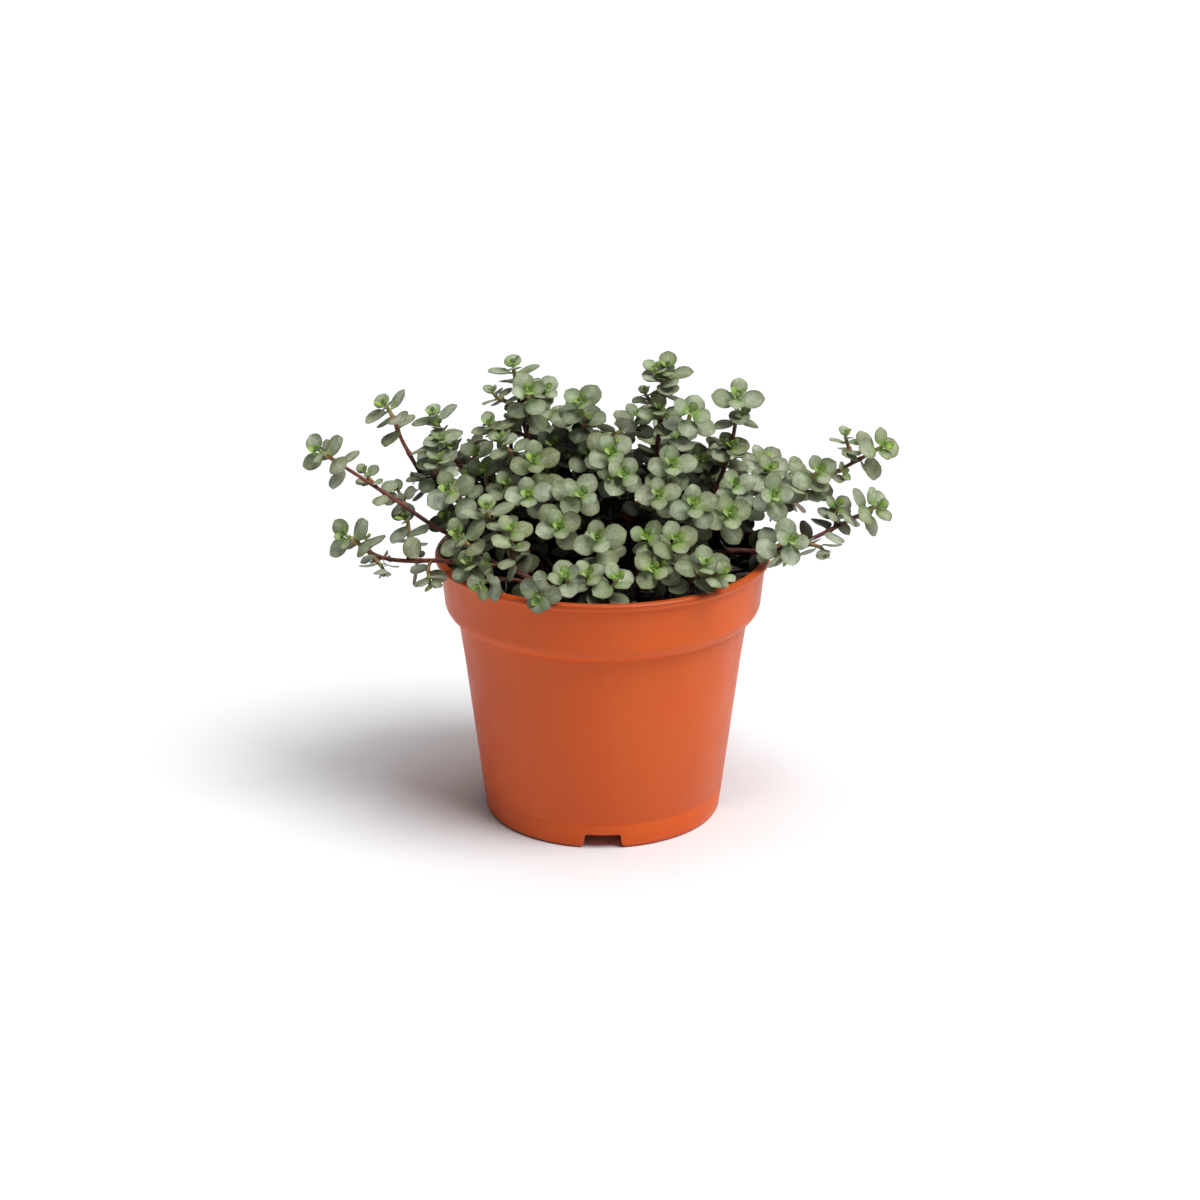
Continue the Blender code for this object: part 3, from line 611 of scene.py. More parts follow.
def inside_wall():
    """Inside of the pot from the edge of its floor up to just below the lip."""
    floor = BASE_CLEARANCE + BASE_THICKNESS
    shoulder = (SHOULDER_RADIUS - SHOULDER_ROUNDING, SHOULDER_HEIGHT)
    points = [(body_radius(floor) - WALL - 1.2, floor), (body_radius(floor + 1.2) - WALL, floor + 1.2)]
    points += arc(shoulder, SHOULDER_ROUNDING - WALL, -SHOULDER_SWEEP, 0, 6)
    points.append((BAND_TOP_RADIUS - WALL, POT_HEIGHT - LIP_HEIGHT))
    return points


def pot_profile():
    """Half section of the pot, from the middle of its floor over the lip to its underside."""
    lip_foot = POT_HEIGHT - LIP_HEIGHT
    shoulder = (SHOULDER_RADIUS - SHOULDER_ROUNDING, SHOULDER_HEIGHT)
    points = [(0, BASE_CLEARANCE + BASE_THICKNESS)]
    points += inside_wall()
    points += arc((BAND_TOP_RADIUS - WALL + 0.6, POT_HEIGHT - 0.6), 0.6, 180, 90, 3)
    points += arc((LIP_RADIUS - 1.2, POT_HEIGHT - 1.2), 1.2, 90, 0, 6)
    points += arc((LIP_RADIUS - 0.9, lip_foot + 0.9), 0.9, -10, -90, 5)
    points += [(BAND_TOP_RADIUS + 0.2, lip_foot), (BAND_TOP_RADIUS, lip_foot - 0.25)]
    points += arc(shoulder, SHOULDER_ROUNDING, 3, -SHOULDER_SWEEP, 12)
    points.append((BODY_TOP_RADIUS, BODY_TOP_HEIGHT))
    half = MOULD_LINE_WIDTH / 2
    for up, depth in ((half, 0), (half / 2, MOULD_LINE_DEPTH), (-half / 2, MOULD_LINE_DEPTH), (-half, 0)):
        height = MOULD_LINE_HEIGHT + up
        points.append((body_radius(height) - depth, height))
    points += arc((FOOT_RADIUS - FOOT_ROUNDING, FOOT_ROUNDING), FOOT_ROUNDING, 0, -90, 5)
    ring_inside = FOOT_RADIUS - FOOT_ROUNDING - FOOT_WIDTH
    points += [(ring_inside, 0), (ring_inside - 0.4, BASE_CLEARANCE), (0, BASE_CLEARANCE)]
    return points


def spun(profile, steps):
    """A profile of (radius, height) points turned about the pot's axis, as a closed bmesh."""
    bm = bmesh.new()
    verts = [bm.verts.new((radius * MM, 0, height * MM)) for radius, height in profile]
    edges = [bm.edges.new(pair) for pair in zip(verts, verts[1:])]
    bmesh.ops.spin(bm, geom=verts + edges, cent=(0, 0, 0), axis=(0, 0, 1), angle=math.tau, steps=steps,
                   use_merge=True)
    bmesh.ops.remove_doubles(bm, verts=bm.verts, dist=0.000002)
    bmesh.ops.recalc_face_normals(bm, faces=bm.faces)
    return bm


def notch_cutter(index):
    """Block that cuts one drainage notch, widening at its foot so that the feet beside it are round."""
    half = NOTCH_WIDTH / 2
    side = arc((half + NOTCH_ROUNDING, NOTCH_ROUNDING), NOTCH_ROUNDING, -90, -180, 6)
    right = [(half + NOTCH_ROUNDING, -1)] + side + arc((half - 1, NOTCH_HEIGHT - 1), 1, 0, 90, 4)
    outline = right + [(-x, y) for x, y in reversed(right)]
    bm = bmesh.new()
    face = bm.faces.new([bm.verts.new((x * MM, -NOTCH_DEPTH / 2 * MM, y * MM)) for x, y in outline])
    walls = bmesh.ops.extrude_face_region(bm, geom=[face])
    moved = [item for item in walls["geom"] if isinstance(item, bmesh.types.BMVert)]
    bmesh.ops.translate(bm, vec=(0, NOTCH_DEPTH * MM, 0), verts=moved)
    bmesh.ops.recalc_face_normals(bm, faces=bm.faces)
    turn = Matrix.Rotation(math.tau * index / NOTCH_COUNT, 4, "Z")
    bmesh.ops.transform(bm, matrix=turn @ Matrix.Translation((0, -FOOT_RADIUS * MM, 0)), verts=bm.verts)
    return placed(f"notch_cutter_{index}", mesh_from(bm, "notch_cutter"))


def drain_cutter(index):
    """Cylinder that cuts one drain hole through the base."""
    angle = math.tau * (index + 0.5) / DRAIN_HOLE_COUNT
    place = Vector((math.cos(angle), math.sin(angle), 0)) * DRAIN_CIRCLE_RADIUS
    place.z = BASE_CLEARANCE + BASE_THICKNESS / 2
    bm = bmesh.new()
    bmesh.ops.create_cone(bm, cap_ends=True, segments=24, radius1=DRAIN_HOLE_RADIUS * MM,
                          radius2=DRAIN_HOLE_RADIUS * MM, depth=2 * BASE_THICKNESS * MM,
                          matrix=Matrix.Translation(place * MM))
    return placed(f"drain_cutter_{index}", mesh_from(bm, "drain_cutter"))


def make_pot():
    pot = placed("pot_blank", mesh_from(spun(pot_profile(), TURN_STEPS), "pot_blank"))
    cutters = [notch_cutter(index) for index in range(NOTCH_COUNT)]
    cutters += [drain_cutter(index) for index in range(DRAIN_HOLE_COUNT)]
    group = bpy.data.collections.new("pot_cutters")
    bpy.context.scene.collection.children.link(group)
    for cutter in cutters:
        bpy.context.scene.collection.objects.unlink(cutter)
        group.objects.link(cutter)
    cut = pot.modifiers.new("Notches and drain holes", "BOOLEAN")
    cut.operation = "DIFFERENCE"
    cut.solver = "EXACT"
    cut.operand_type = "COLLECTION"
    cut.collection = group
    mesh = evaluated_mesh(pot)
    for cutter in cutters:
        bpy.data.objects.remove(cutter)
    bpy.data.collections.remove(group)
    # Peat dust and painted shade, by place: most on the inside wall above the soil, less on the top of the
    # lip
    dust_and_shade = mesh.attributes.new("peat_dust_and_shade", "FLOAT", "POINT")
    band_slope = (BAND_TOP_RADIUS - SHOULDER_RADIUS) / (POT_HEIGHT - LIP_HEIGHT - SHOULDER_HEIGHT)
    for v in mesh.vertices:
        above = v.co.z / MM - SHOULDER_HEIGHT
        inside = v.co.xy.length / MM < SHOULDER_RADIUS - WALL / 2 + band_slope * above
        if inside and -0.1 < above < POT_HEIGHT - LIP_HEIGHT - SHOULDER_HEIGHT + 0.1:
            dust_and_shade.data[v.index].value = INSIDE_DUST_AND_SHADE
        elif v.co.z / MM > POT_HEIGHT - LIP_HEIGHT / 2:
            dust_and_shade.data[v.index].value = LIP_DUST_AND_SHADE
    return add_piece("nursery_pot", smooth(mesh, 32), terracotta_polypropylene(), "pot", "pot")


# Soil

def soil_lift(x, y):
    """How far the crumbly surface stands above or below its mean, in mm."""
    place = Vector((x, y, 0))
    broad = noise.noise(place / 11)
    lumps = abs(noise.noise(place / 3.4 + Vector((7, 0, 0))))
    crumbs = noise.noise(place / 1.6 + Vector((0, 5, 0)))
    return 1.0 * broad + 1.8 * (lumps - 0.25) + 0.5 * crumbs


def soil_level(x, y):
    """Height of the soil's surface."""
    radius = math.hypot(x, y)
    slope = max(0.0, min(1.0, (radius - SOIL_FLAT_RADIUS) / 7))
    return SOIL_HEIGHT + (SOIL_EDGE_HEIGHT - SOIL_HEIGHT) * slope + soil_lift(x, y)


def make_soil():
    wall = inside_wall()
    low, high = wall[-2], wall[-1]
    share = (SOIL_EDGE_HEIGHT - low[1]) / (high[1] - low[1])
    edge = low[0] + (high[0] - low[0]) * share - SOIL_GAP
    ring_count = 44
    profile = [(edge * i / ring_count, SOIL_HEIGHT) for i in range(ring_count + 1)]
    profile += [(radius - SOIL_GAP, height) for radius, height in reversed(wall[1:-1])]
    floor = wall[0][1] + SOIL_GAP
    profile += [(wall[0][0] - SOIL_GAP, floor), (0, floor)]
    bm = spun(profile, 176)
    for v in bm.verts:
        if v.co.z > (SOIL_HEIGHT - 0.01) * MM:
            v.co.z = soil_level(v.co.x / MM, v.co.y / MM) * MM
    return add_piece("peat_surface", smooth(mesh_from(bm, "peat_surface"), 180), damp_peat("damp_peat"),
                     "soil", "soil")


def lump(bm, rng, place, size, detail):
    """One uneven grain."""
    made = bmesh.ops.create_icosphere(bm, subdivisions=detail, radius=size / 2 * MM)
    turn = Matrix.Rotation(rng.uniform(0, math.tau), 4, Vector((rng.random(), rng.random(), 1)).normalized())
    shape = Matrix.Diagonal((rng.uniform(0.8, 1.3), rng.uniform(0.7, 1.0), rng.uniform(0.5, 0.8), 1))
    for v in made["verts"]:
        v.co *= rng.uniform(0.72, 1.2)
    bmesh.ops.transform(bm, matrix=Matrix.Translation(place * MM) @ turn @ shape, verts=made["verts"])


def scattered(rng, count, reach):
    """Places on the soil, evenly spread over a disc of this radius."""
    for _ in range(count):
        radius = reach * math.sqrt(rng.random())
        angle = rng.uniform(0, math.tau)
        x, y = radius * math.cos(angle), radius * math.sin(angle)
        yield Vector((x, y, soil_level(x, y)))


def make_grains():
    rng = random.Random(11)
    bm = bmesh.new()
    for place in scattered(rng, CRUMB_COUNT, 52):
        size = rng.uniform(0.9, 2.4)
        lump(bm, rng, place + Vector((0, 0, size * 0.15)), size, 1)
    for place in scattered(rng, LUMP_COUNT, 50):
        size = rng.uniform(2.6, 4.6)
        lump(bm, rng, place + Vector((0, 0, size * 0.1)), size, 2)
    add_piece("peat_crumbs", smooth(mesh_from(bm, "peat_crumbs"), 50), damp_peat("crumbled_peat", "#2a211a"),
              "soil")
    bm = bmesh.new()
    for place in scattered(rng, PERLITE_COUNT, 51):
        size = rng.uniform(0.9, 2.2)
        lump(bm, rng, place + Vector((0, 0, size * 0.35)), size, 1)
    add_piece("perlite_grains", smooth(mesh_from(bm, "perlite_grains"), 50), expanded_perlite(), "soil")


def make_fibres():
    """Root and peat fibres that lie on the soil."""
    rng = random.Random(5)
    curve = bpy.data.curves.new("peat_fibres", "CURVE")
    curve.dimensions = "3D"
    curve.bevel_depth = MM
    curve.bevel_resolution = 0
    curve.use_fill_caps = True
    for start in scattered(rng, FIBRE_COUNT, 48):
        way = rng.uniform(0, math.tau)
        reach = rng.uniform(3, 9)
        spline = curve.splines.new("POLY")
        spline.points.add(5)
        for i, point in enumerate(spline.points):
            bend = way + 0.35 * math.sin(i * 1.3 + start.x)
            x = start.x + math.cos(bend) * reach * i / 5
            y = start.y + math.sin(bend) * reach * i / 5
            rise = 0.5 + 0.5 * math.sin(i * 0.9 + start.y)
            point.co = (x * MM, y * MM, (soil_level(x, y) + rise) * MM, 1)
            point.radius = 0.16 + 0.1 * rng.random()
    mesh = evaluated_mesh(placed("peat_fibres", curve))
    return add_piece("peat_fibres", smooth(mesh, 180), damp_peat("fibrous_peat", "#6b4c36"), "soil")


# Stems

def smooth_path(points, start_way, end_way, spacing):
    """Points along one smooth curve through the given ones, with its directions at both ends."""
    points = [Vector(p) for p in points]
    ways = [(points[i + 1] - points[i - 1]).normalized() for i in range(1, len(points) - 1)]
    ways = [Vector(start_way).normalized()] + ways + [Vector(end_way).normalized()]
    path = []
    for i in range(len(points) - 1):
        reach = (points[i + 1] - points[i]).length
        count = max(2, round(reach / spacing))
        for step in range(count):
            t = step / count
            a = 2 * t ** 3 - 3 * t ** 2 + 1
            b = (t ** 3 - 2 * t ** 2 + t) * reach
            c = (t ** 3 - t ** 2) * reach
            path.append(points[i] * a + ways[i] * b + points[i + 1] * (1 - a) + ways[i + 1] * c)
    return path + [points[-1]]


def path_length(path):
    return sum((b - a).length for a, b in zip(path, path[1:]))


def point_at(path, distance):
    """The point at a distance along a path, and the path's direction there."""
    for a, b in zip(path, path[1:]):
        step = (b - a).length
        if distance <= step:
            return a.lerp(b, distance / step), (b - a).normalized()
        distance -= step
    return path[-1].copy(), (path[-1] - path[-2]).normalized()


class Shoot:
    """One growing shoot of the plant, from where it leaves the soil or its parent up to its tip."""

    def __init__(self, stem, path, radius, top, bare):
        self.stem = stem                 # number of the woody stem that it belongs to
        self.path = path
        self.length = path_length(path)
        self.radius = radius
        self.top = top
        self.bare = bare                 # length without leaves at its start
        self.pairs = []                  # (number, distance below the tip, size, rise, youth)
        self.crown = True
        self.hue = 0.5                   # of its leaves, from olive to blue green
        self.outer = False               # whether it is a stem of the CAD or one of SIDE_TOPS


def main_shoots():
    """The shoots that the CAD has, in the order of its leafy tops."""
    shoots = []
    for number, stem in enumerate(STEMS, 1):
        foot = Vector((*stem.foot, SOIL_HEIGHT))
        up = Vector((0, 0, 1))
        main = stem.tops[0]
        trunk = smooth_path([foot + up * RISE, *stem.bends, main.tip], up, main.facing, PATH_STEP)
        rooted = [foot - up * ROOT_DEPTH, foot] + trunk
        shoots.append(Shoot(number, rooted, WOOD_RADIUS, main, ROOT_DEPTH + 5))
        length = path_length([foot] + trunk)
        for top in stem.tops[1:]:
            start, way = point_at([foot] + trunk, length * top.leaves_at)
            branch = smooth_path([start, *top.bends, top.tip], way, top.facing, PATH_STEP)
            shoots.append(Shoot(number, branch, TWIG_RADIUS, top, BARE_START))
    return shoots


def side_shoot(shoots, top):
    """A shoot for a top, from the place on the older ones that it would most likely come from."""
    tip = Vector(top.tip)
    facing = Vector(top.facing).normalized()
    best = None
    for parent in shoots:
        for i in range(6, len(parent.path) - 5):
            start = parent.path[i]
            if start.z < SOIL_HEIGHT + 2:
                continue
            way = tip - start
            reach = way.length
            if reach < SHORTEST_SHOOT:
                continue
            bend = 1 - way.normalized().dot(facing)
            cost = reach + BEND_COST * bend + DROP_COST * max(0, start.z + 3 - tip.z)
            if best is None or cost < best[0]:
                best = (cost, parent, i)
    cost, parent, i = best
    start = parent.path[i]
    way = (parent.path[i + 1] - start).normalized()
    leave = (way * 0.6 + (tip - start).normalized()).normalized()
    branch = smooth_path([start, tip], leave, facing, PATH_STEP)
    return Shoot(parent.stem, branch, TWIG_RADIUS * 0.92, top, BARE_START)


def set_pairs(shoot, rng):
    """Chooses where the pairs of leaves sit on a shoot."""
    reach = shoot.length - shoot.bare
    for number, below, size, rise, youth in CROWN:
        if below < reach:
            shoot.pairs.append((number, below, size, rise, youth))
    number, below = CROWN[-1][0] + 1, CROWN[-1][1] + rng.uniform(*FIRST_SPACING)
    while below < reach:
        full = max(0.55, 1 - (below - 12) / 75)
        if rng.random() < full:
            shoot.pairs.append((number, below, rng.uniform(0.72, 1.0), rng.uniform(-12, 22), 0.0))
        number += 1
        below += rng.uniform(*OLD_SPACING)


def bud_shoot(shoot, below, side, rng):
    """A tiny new shoot in the angle between a leaf and the stem."""
    place, axis = point_at(shoot.path, shoot.length - below)
    away = Matrix.Rotation(side, 3, axis) @ axis.orthogonal().normalized()
    facing = (away + axis * 0.7 + Vector((0, -0.2, 0.5))).normalized()
    reach = rng.uniform(3.0, 5.5)
    tip = place + facing * reach
    path = smooth_path([place, tip], (away + axis).normalized(), facing, 1.0)
    bud = Shoot(shoot.stem, path, 0.32, Top(tuple(tip), tuple(facing), rng.uniform(0, 180), 4.2), 1.0)
    bud.crown = False
    bud.pairs = [(0, 0.1, 0.55, 58, 0.9), (1, 0.9, rng.uniform(0.7, 1.2), 26, 0.6)]
    return bud


def wood_radius(shoot, done):
    """Radius of a shoot at a distance along it, swollen where leaves sit."""
    below = shoot.length - done
    share = min(1.0, below / max(shoot.length, 30)) ** 0.6
    radius = TIP_RADIUS + (shoot.radius - TIP_RADIUS) * share if shoot.crown else shoot.radius
    swell = max([math.exp(-((below - pair[1]) / NODE_REACH) ** 2) for pair in shoot.pairs[3:]] or [0])
    return radius * (1 + NODE_SWELLING * swell)


def make_wood(number, shoots, canopy_tree, bark):
    """All the wood of one stem as one piece."""
    name = f"stem_{number:02d}_wood"
    curve = bpy.data.curves.new(name, "CURVE")
    curve.dimensions = "3D"
    curve.bevel_depth = MM
    curve.bevel_resolution = 2
    curve.use_fill_caps = True
    samples = []
    for shoot in shoots:
        spline = curve.splines.new("POLY")
        spline.points.add(len(shoot.path) - 1)
        done = 0.0
        for i, (point, place) in enumerate(zip(spline.points, shoot.path)):
            if i:
                done += (place - shoot.path[i - 1]).length
            point.co = (*(place * MM), 1)
            point.radius = wood_radius(shoot, done)
            youth = 1 - (shoot.length - done) / YOUNG_REACH if shoot.crown else 0.75
            # Each point keeps its youth and how much sky it sees, which darkens the wood as painted shade
            samples.append((place, max(0.0, youth), openness(canopy_tree, place)))
    tree = KDTree(len(samples))
    for i, sample in enumerate(samples):
        tree.insert(sample[0] * MM, i)
    tree.balance()
    mesh = evaluated_mesh(placed(name, curve))
    life_and_shade = mesh.attributes.new("stem_life_and_shade", "FLOAT_COLOR", "POINT")
    for i, v in enumerate(mesh.vertices):
        place, youth, light = samples[tree.find(v.co)[1]]
        life_and_shade.data[i].color = (youth, light, 0, 1)
    return add_piece(name, smooth(mesh, 60), bark, "stem", f"stem_{number:02d}")


# Leaves

LEAF_ROWS = len(OUTLINE) - 1


def leaf_form(cup, fold, droop, width, twist):
    """A leaf of length 1 along X, upper side to Z. Its upper and lower skins meet at the margin.

    cup bends the margin down, fold lifts both halves off the midrib, droop lowers the tip, and twist
    turns the blade about its length."""
    bm = bmesh.new()
    bmesh.ops.create_grid(bm, x_segments=LEAF_ROWS, y_segments=LEAF_COLUMNS, size=1)
    inside = {}
    margins = {}
    for v in bm.verts:
        row = round((v.co.x + 1) / 2 * LEAF_ROWS)
        across = v.co.y
        along, half = OUTLINE[row]
        if row > 1:
            half *= width
        x = along - TIP_ROUNDING * across ** 2 * (row > LEAF_ROWS - 2)
        y = across * half
        u = (x - BLADE_MIDDLE) / (1 - BLADE_MIDDLE)
        blade = max(0.0, min(1.0, (x - 0.08) / 0.12))
        spread = (u * u + (y / 0.48) ** 2) * blade
        z = -cup * spread * 0.5 + fold * abs(y) - droop * x * x
        z -= 0.012 * (abs(across) < 0.1) * blade
        y_turned = y * math.cos(twist * x) - z * math.sin(twist * x)
        z_turned = y * math.sin(twist * x) + z * math.cos(twist * x)
        v.co = (x, y_turned, z_turned)
        edge = row in (0, LEAF_ROWS) or abs(across) > 0.9
        inside[v.index] = 0.0 if edge else LEAF_THICKNESS
        margins[v.index] = 1.0 if edge else 0.55 if abs(across) > 0.4 or row == LEAF_ROWS - 1 else 0.2
    part = bm.loops.layers.float_color.new("leaf_part")
    for face in bm.faces:
        for loop in face.loops:
            loop[part] = (loop.vert.co.x, margins[loop.vert.index], 0, 1)
    bm.normal_update()
    upwards = sum(face.normal.z for face in bm.faces)
    lower = bmesh.ops.duplicate(bm, geom=bm.verts[:] + bm.edges[:] + bm.faces[:])
    twin = lower["vert_map"]
    for v in list(bm.verts):
        if v.index in inside and v in twin and inside[v.index]:
            twin[v].co.z = v.co.z - inside[v.index]
    skins = [item for item in lower["geom"] if isinstance(item, bmesh.types.BMFace)]
    for face in skins:
        for loop in face.loops:
            loop[part] = (loop[part][0], loop[part][1], 1, 1)
    bmesh.ops.reverse_faces(bm, faces=skins)
    if upwards < 0:
        bmesh.ops.reverse_faces(bm, faces=bm.faces)
    bmesh.ops.remove_doubles(bm, verts=bm.verts, dist=0.0005)
    return mesh_from(bm, "leaf_form")


class Form:
    """A leaf form with its points and faces at hand for clearance tests."""

    def __init__(self, mesh):
        self.mesh = mesh
        self.points = [v.co.copy() for v in mesh.vertices]
        self.blade = [i for i, p in enumerate(self.points) if p.x > 0.4]
        faces = [tuple(p.vertices) for p in mesh.polygons]
        self.faces = [face for face in faces if min(self.points[i].x for i in face) > 0.2]


def make_forms(rng):
    """Kinds of leaves: mostly gently domed, some spooned, folded or twisted."""
    forms = []
    for i in range(FORM_COUNT):
        cup = rng.uniform(0.05, 0.22) if i % 3 else rng.uniform(-0.2, -0.06)
        fold = rng.uniform(0.0, 0.12)
        droop = rng.uniform(-0.05, 0.12)
        forms.append(Form(leaf_form(cup, fold, droop, rng.uniform(0.9, 1.06), rng.uniform(-0.1, 0.1))))
    return forms


class Space:
    """The leaves placed so far, the wood and the pot, to keep new leaves out of them."""

    CELL = 12.0

    def __init__(self, shoots, pot):
        self.cells = {}
        places = [p for shoot in shoots for p in shoot.path[:-3] if shoot.crown]
        self.wood = KDTree(len(places))
        for i, place in enumerate(places):
            self.wood.insert(place, i)
        self.wood.balance()
        points = [v.co / MM for v in pot.data.vertices]
        self.pot = BVHTree.FromPolygons(points, [tuple(p.vertices) for p in pot.data.polygons])

    def near(self, middle):
        home = [math.floor(value / self.CELL) for value in middle]
        for i in (-1, 0, 1):
            for j in (-1, 0, 1):
                for k in (-1, 0, 1):
                    yield from self.cells.get((home[0] + i, home[1] + j, home[2] + k), ())

    def add(self, tree, middle):
        cell = tuple(math.floor(value / self.CELL) for value in middle)
        self.cells.setdefault(cell, []).append(tree)

    def is_clear(self, form, points, tree, middle, small):
        low = min(p.z for p in points)
        if low < POT_HEIGHT + 1:
            if self.pot.overlap(tree):
                return False
            if middle.xy.length < BAND_TOP_RADIUS and low < SOIL_HEIGHT + 0.4:
                return False
        if not small and any(self.wood.find(points[i])[2] < STEM_CLEARANCE for i in form.blade):
            return False
        return not any(other.overlap(tree) for other in self.near(middle))


def leaf_frame(place, along, upper):
    """Frame of a leaf at a place on the stem: its length runs along X, its upper side faces Z."""
    across = upper.cross(along).normalized()
    upper = along.cross(across).normalized()
    return Matrix.Translation(place) @ Matrix((along, across, upper)).transposed().to_4x4()


Leaf = namedtuple("Leaf", "stem form frame length tone youth hue outer", defaults=(False,))

# Ways that light comes to a leaf from: height above the horizon (degrees), number of ways round it
SKY = [Vector((math.cos(turn) * math.cos(rise), math.sin(turn) * math.cos(rise), math.sin(rise)))
       for rise, count in ((math.radians(12), 8), (math.radians(40), 7), (math.radians(70), 5))
       for turn in (math.tau * i / count for i in range(count))]
SKY_REACH = 70.0             # mm
# Painted shade: how much sky a leaf sees darkens its colour; these are the least that some leaves are given
CROWN_OPENNESS = 0.8         # least that the leaves of an outer crown are taken to see of the sky
YOUNG_OPENNESS = 0.5         # the same for young leaves elsewhere
DEEP_OPENNESS = 0.3          # share that is left of it for other leaves on the plant's axis
LIT_RADIUS = 50.0            # from the axis, where they have all of it


def canopy(leaves):
    """All the leaves as one tree of faces, to look for light through."""
    points, faces = [], []
    for leaf in leaves:
        start = len(points)
        points += [leaf.frame @ (p * leaf.length) for p in leaf.form.points]
        faces += [tuple(start + i for i in face) for face in leaf.form.faces]
    return BVHTree.FromPolygons(points, faces)


def openness(tree, place):
    """Share of the sky that a place sees between the leaves."""
    return sum(tree.ray_cast(place, way, SKY_REACH)[0] is None for way in SKY) / len(SKY)


def leaf_light(tree, leaf):
    """How much of the sky a leaf is taken to see; it darkens the leaf's colour as painted shade."""
    light = openness(tree, leaf.frame @ Vector((0.55 * leaf.length, 0, 0.1 * leaf.length)))
    if leaf.outer:
        return max(light, CROWN_OPENNESS)
    if leaf.youth > 0.6:
        return max(light, YOUNG_OPENNESS)
    outwards = min(1.0, leaf.frame.translation.xy.length / LIT_RADIUS)
    return light * (DEEP_OPENNESS + (1 - DEEP_OPENNESS) * outwards)


def leaf_layers():
    """An empty bmesh with the attributes that a leaf's material reads: leaf_part is the place on the leaf
    (along it, towards the margin, underside); the other holds the leaf's tone, youth, hue and openness to the
    sky, of which the openness and part of the tone are painted shade."""
    bm = bmesh.new()
    bm.loops.layers.float_color.new("leaf_part")
    bm.loops.layers.float_color.new("leaf_life_and_shade")
    return bm


def add_leaf(bm, leaf, light):
    life_and_shade = bm.loops.layers.float_color["leaf_life_and_shade"]
    first_vert, first_face = len(bm.verts), len(bm.faces)
    bm.from_mesh(leaf.form.mesh)
    bm.verts.ensure_lookup_table()
    bm.faces.ensure_lookup_table()
    scale = Matrix.Scale(leaf.length * MM, 4)
    shifted = leaf.frame.copy()
    shifted.translation = leaf.frame.translation * MM
    bmesh.ops.transform(bm, matrix=shifted @ scale, verts=bm.verts[first_vert:])
    for face in bm.faces[first_face:]:
        for loop in face.loops:
            loop[life_and_shade] = (leaf.tone, leaf.youth, leaf.hue, light)


def try_leaf(space, form, place, along, upper, axis, length):
    """The first way to set a leaf that keeps it out of everything, or None."""
    along, upper = along.normalized(), upper.normalized()
    for bend, turn, roll, scale in LEAF_TRIES:
        across = upper.cross(along).normalized()
        spin = Matrix.Rotation(math.radians(turn), 3, axis)
        lift = Matrix.Rotation(math.radians(-bend), 3, across)
        bent_along = spin @ (lift @ along)
        bent_upper = spin @ (lift @ upper)
        bent_upper = Matrix.Rotation(math.radians(roll), 3, bent_along) @ bent_upper
        frame = leaf_frame(place + bent_along * 0.3, bent_along, bent_upper)
        size = length * scale
        points = [frame @ (p * size) for p in form.points]
        middle = frame @ Vector((BLADE_MIDDLE * size, 0, 0))
        tree = BVHTree.FromPolygons(points, form.faces)
        if space.is_clear(form, points, tree, middle, length < SMALL_LEAF):
            space.add(tree, middle)
            return frame, size
    return None


def shaded(tone, place, number):
    """The tone of a leaf, with painted shade: pairs low on a shoot and deep in the plant are darkened, those
    far out to either side aren't.
    """
    deep = max(0.0, min(1.0, (78 - abs(place.x)) / 30))
    drop = DEEP_SHADE_DROP[max(0, min(number, len(DEEP_SHADE_DROP) - 1))]
    return min(1.0, max(0.0, tone - deep * drop))


def pair_leaves(shoot, pair, forms, space, rng, shade, leaves):
    """Sets the two leaves of one pair."""
    number, below, size, rise, youth = pair
    place, axis = point_at(shoot.path, shoot.length - below)
    turned = CROWN_TURNED[min(number, len(CROWN_TURNED) - 1)] if number > 0 else 1.0
    axis = (axis * (1 - turned) + Vector(shoot.top.facing).normalized() * turned).normalized()
    sideways = Vector((1, 0, 0)) - axis * axis.x
    if sideways.length < 0.2:
        sideways = Vector((0, 1, 0)) - axis * axis.y
    sideways.normalize()
    for side in (0, 180):
        turn = shoot.top.turn + side + PAIR_TURN * number + rng.uniform(-7, 7)
        lift = math.radians(rise + rng.uniform(-7, 7))
        radial = Matrix.Rotation(math.radians(turn), 3, axis) @ sideways
        along = radial * math.cos(lift) + axis * math.sin(lift)
        upper = axis * math.cos(lift) - radial * math.sin(lift)
        to_light = TO_LIGHT[max(0, min(number, len(TO_LIGHT) - 1))]
        upper = upper * (1 - to_light) + LIGHT * to_light
        form = forms[rng.randrange(len(forms))]
        length = shoot.top.leaf * size * rng.uniform(0.92, 1.05)
        if number > 4 and rng.random() < LOST_CHANCE:
            continue
        found = try_leaf(space, form, place, along, upper, axis, length)
        if found:
            tone = shaded(shade + rng.uniform(-0.25, 0.25), place, number)
            green = min(1.0, max(0.0, youth + rng.uniform(-0.1, 0.1)))
            hue = shoot.hue + rng.uniform(-0.25, 0.25)
            outer = shoot.outer and number <= CROWN[-1][0]
            leaves.append(Leaf(shoot.stem, form, *found, tone, green, hue, outer))


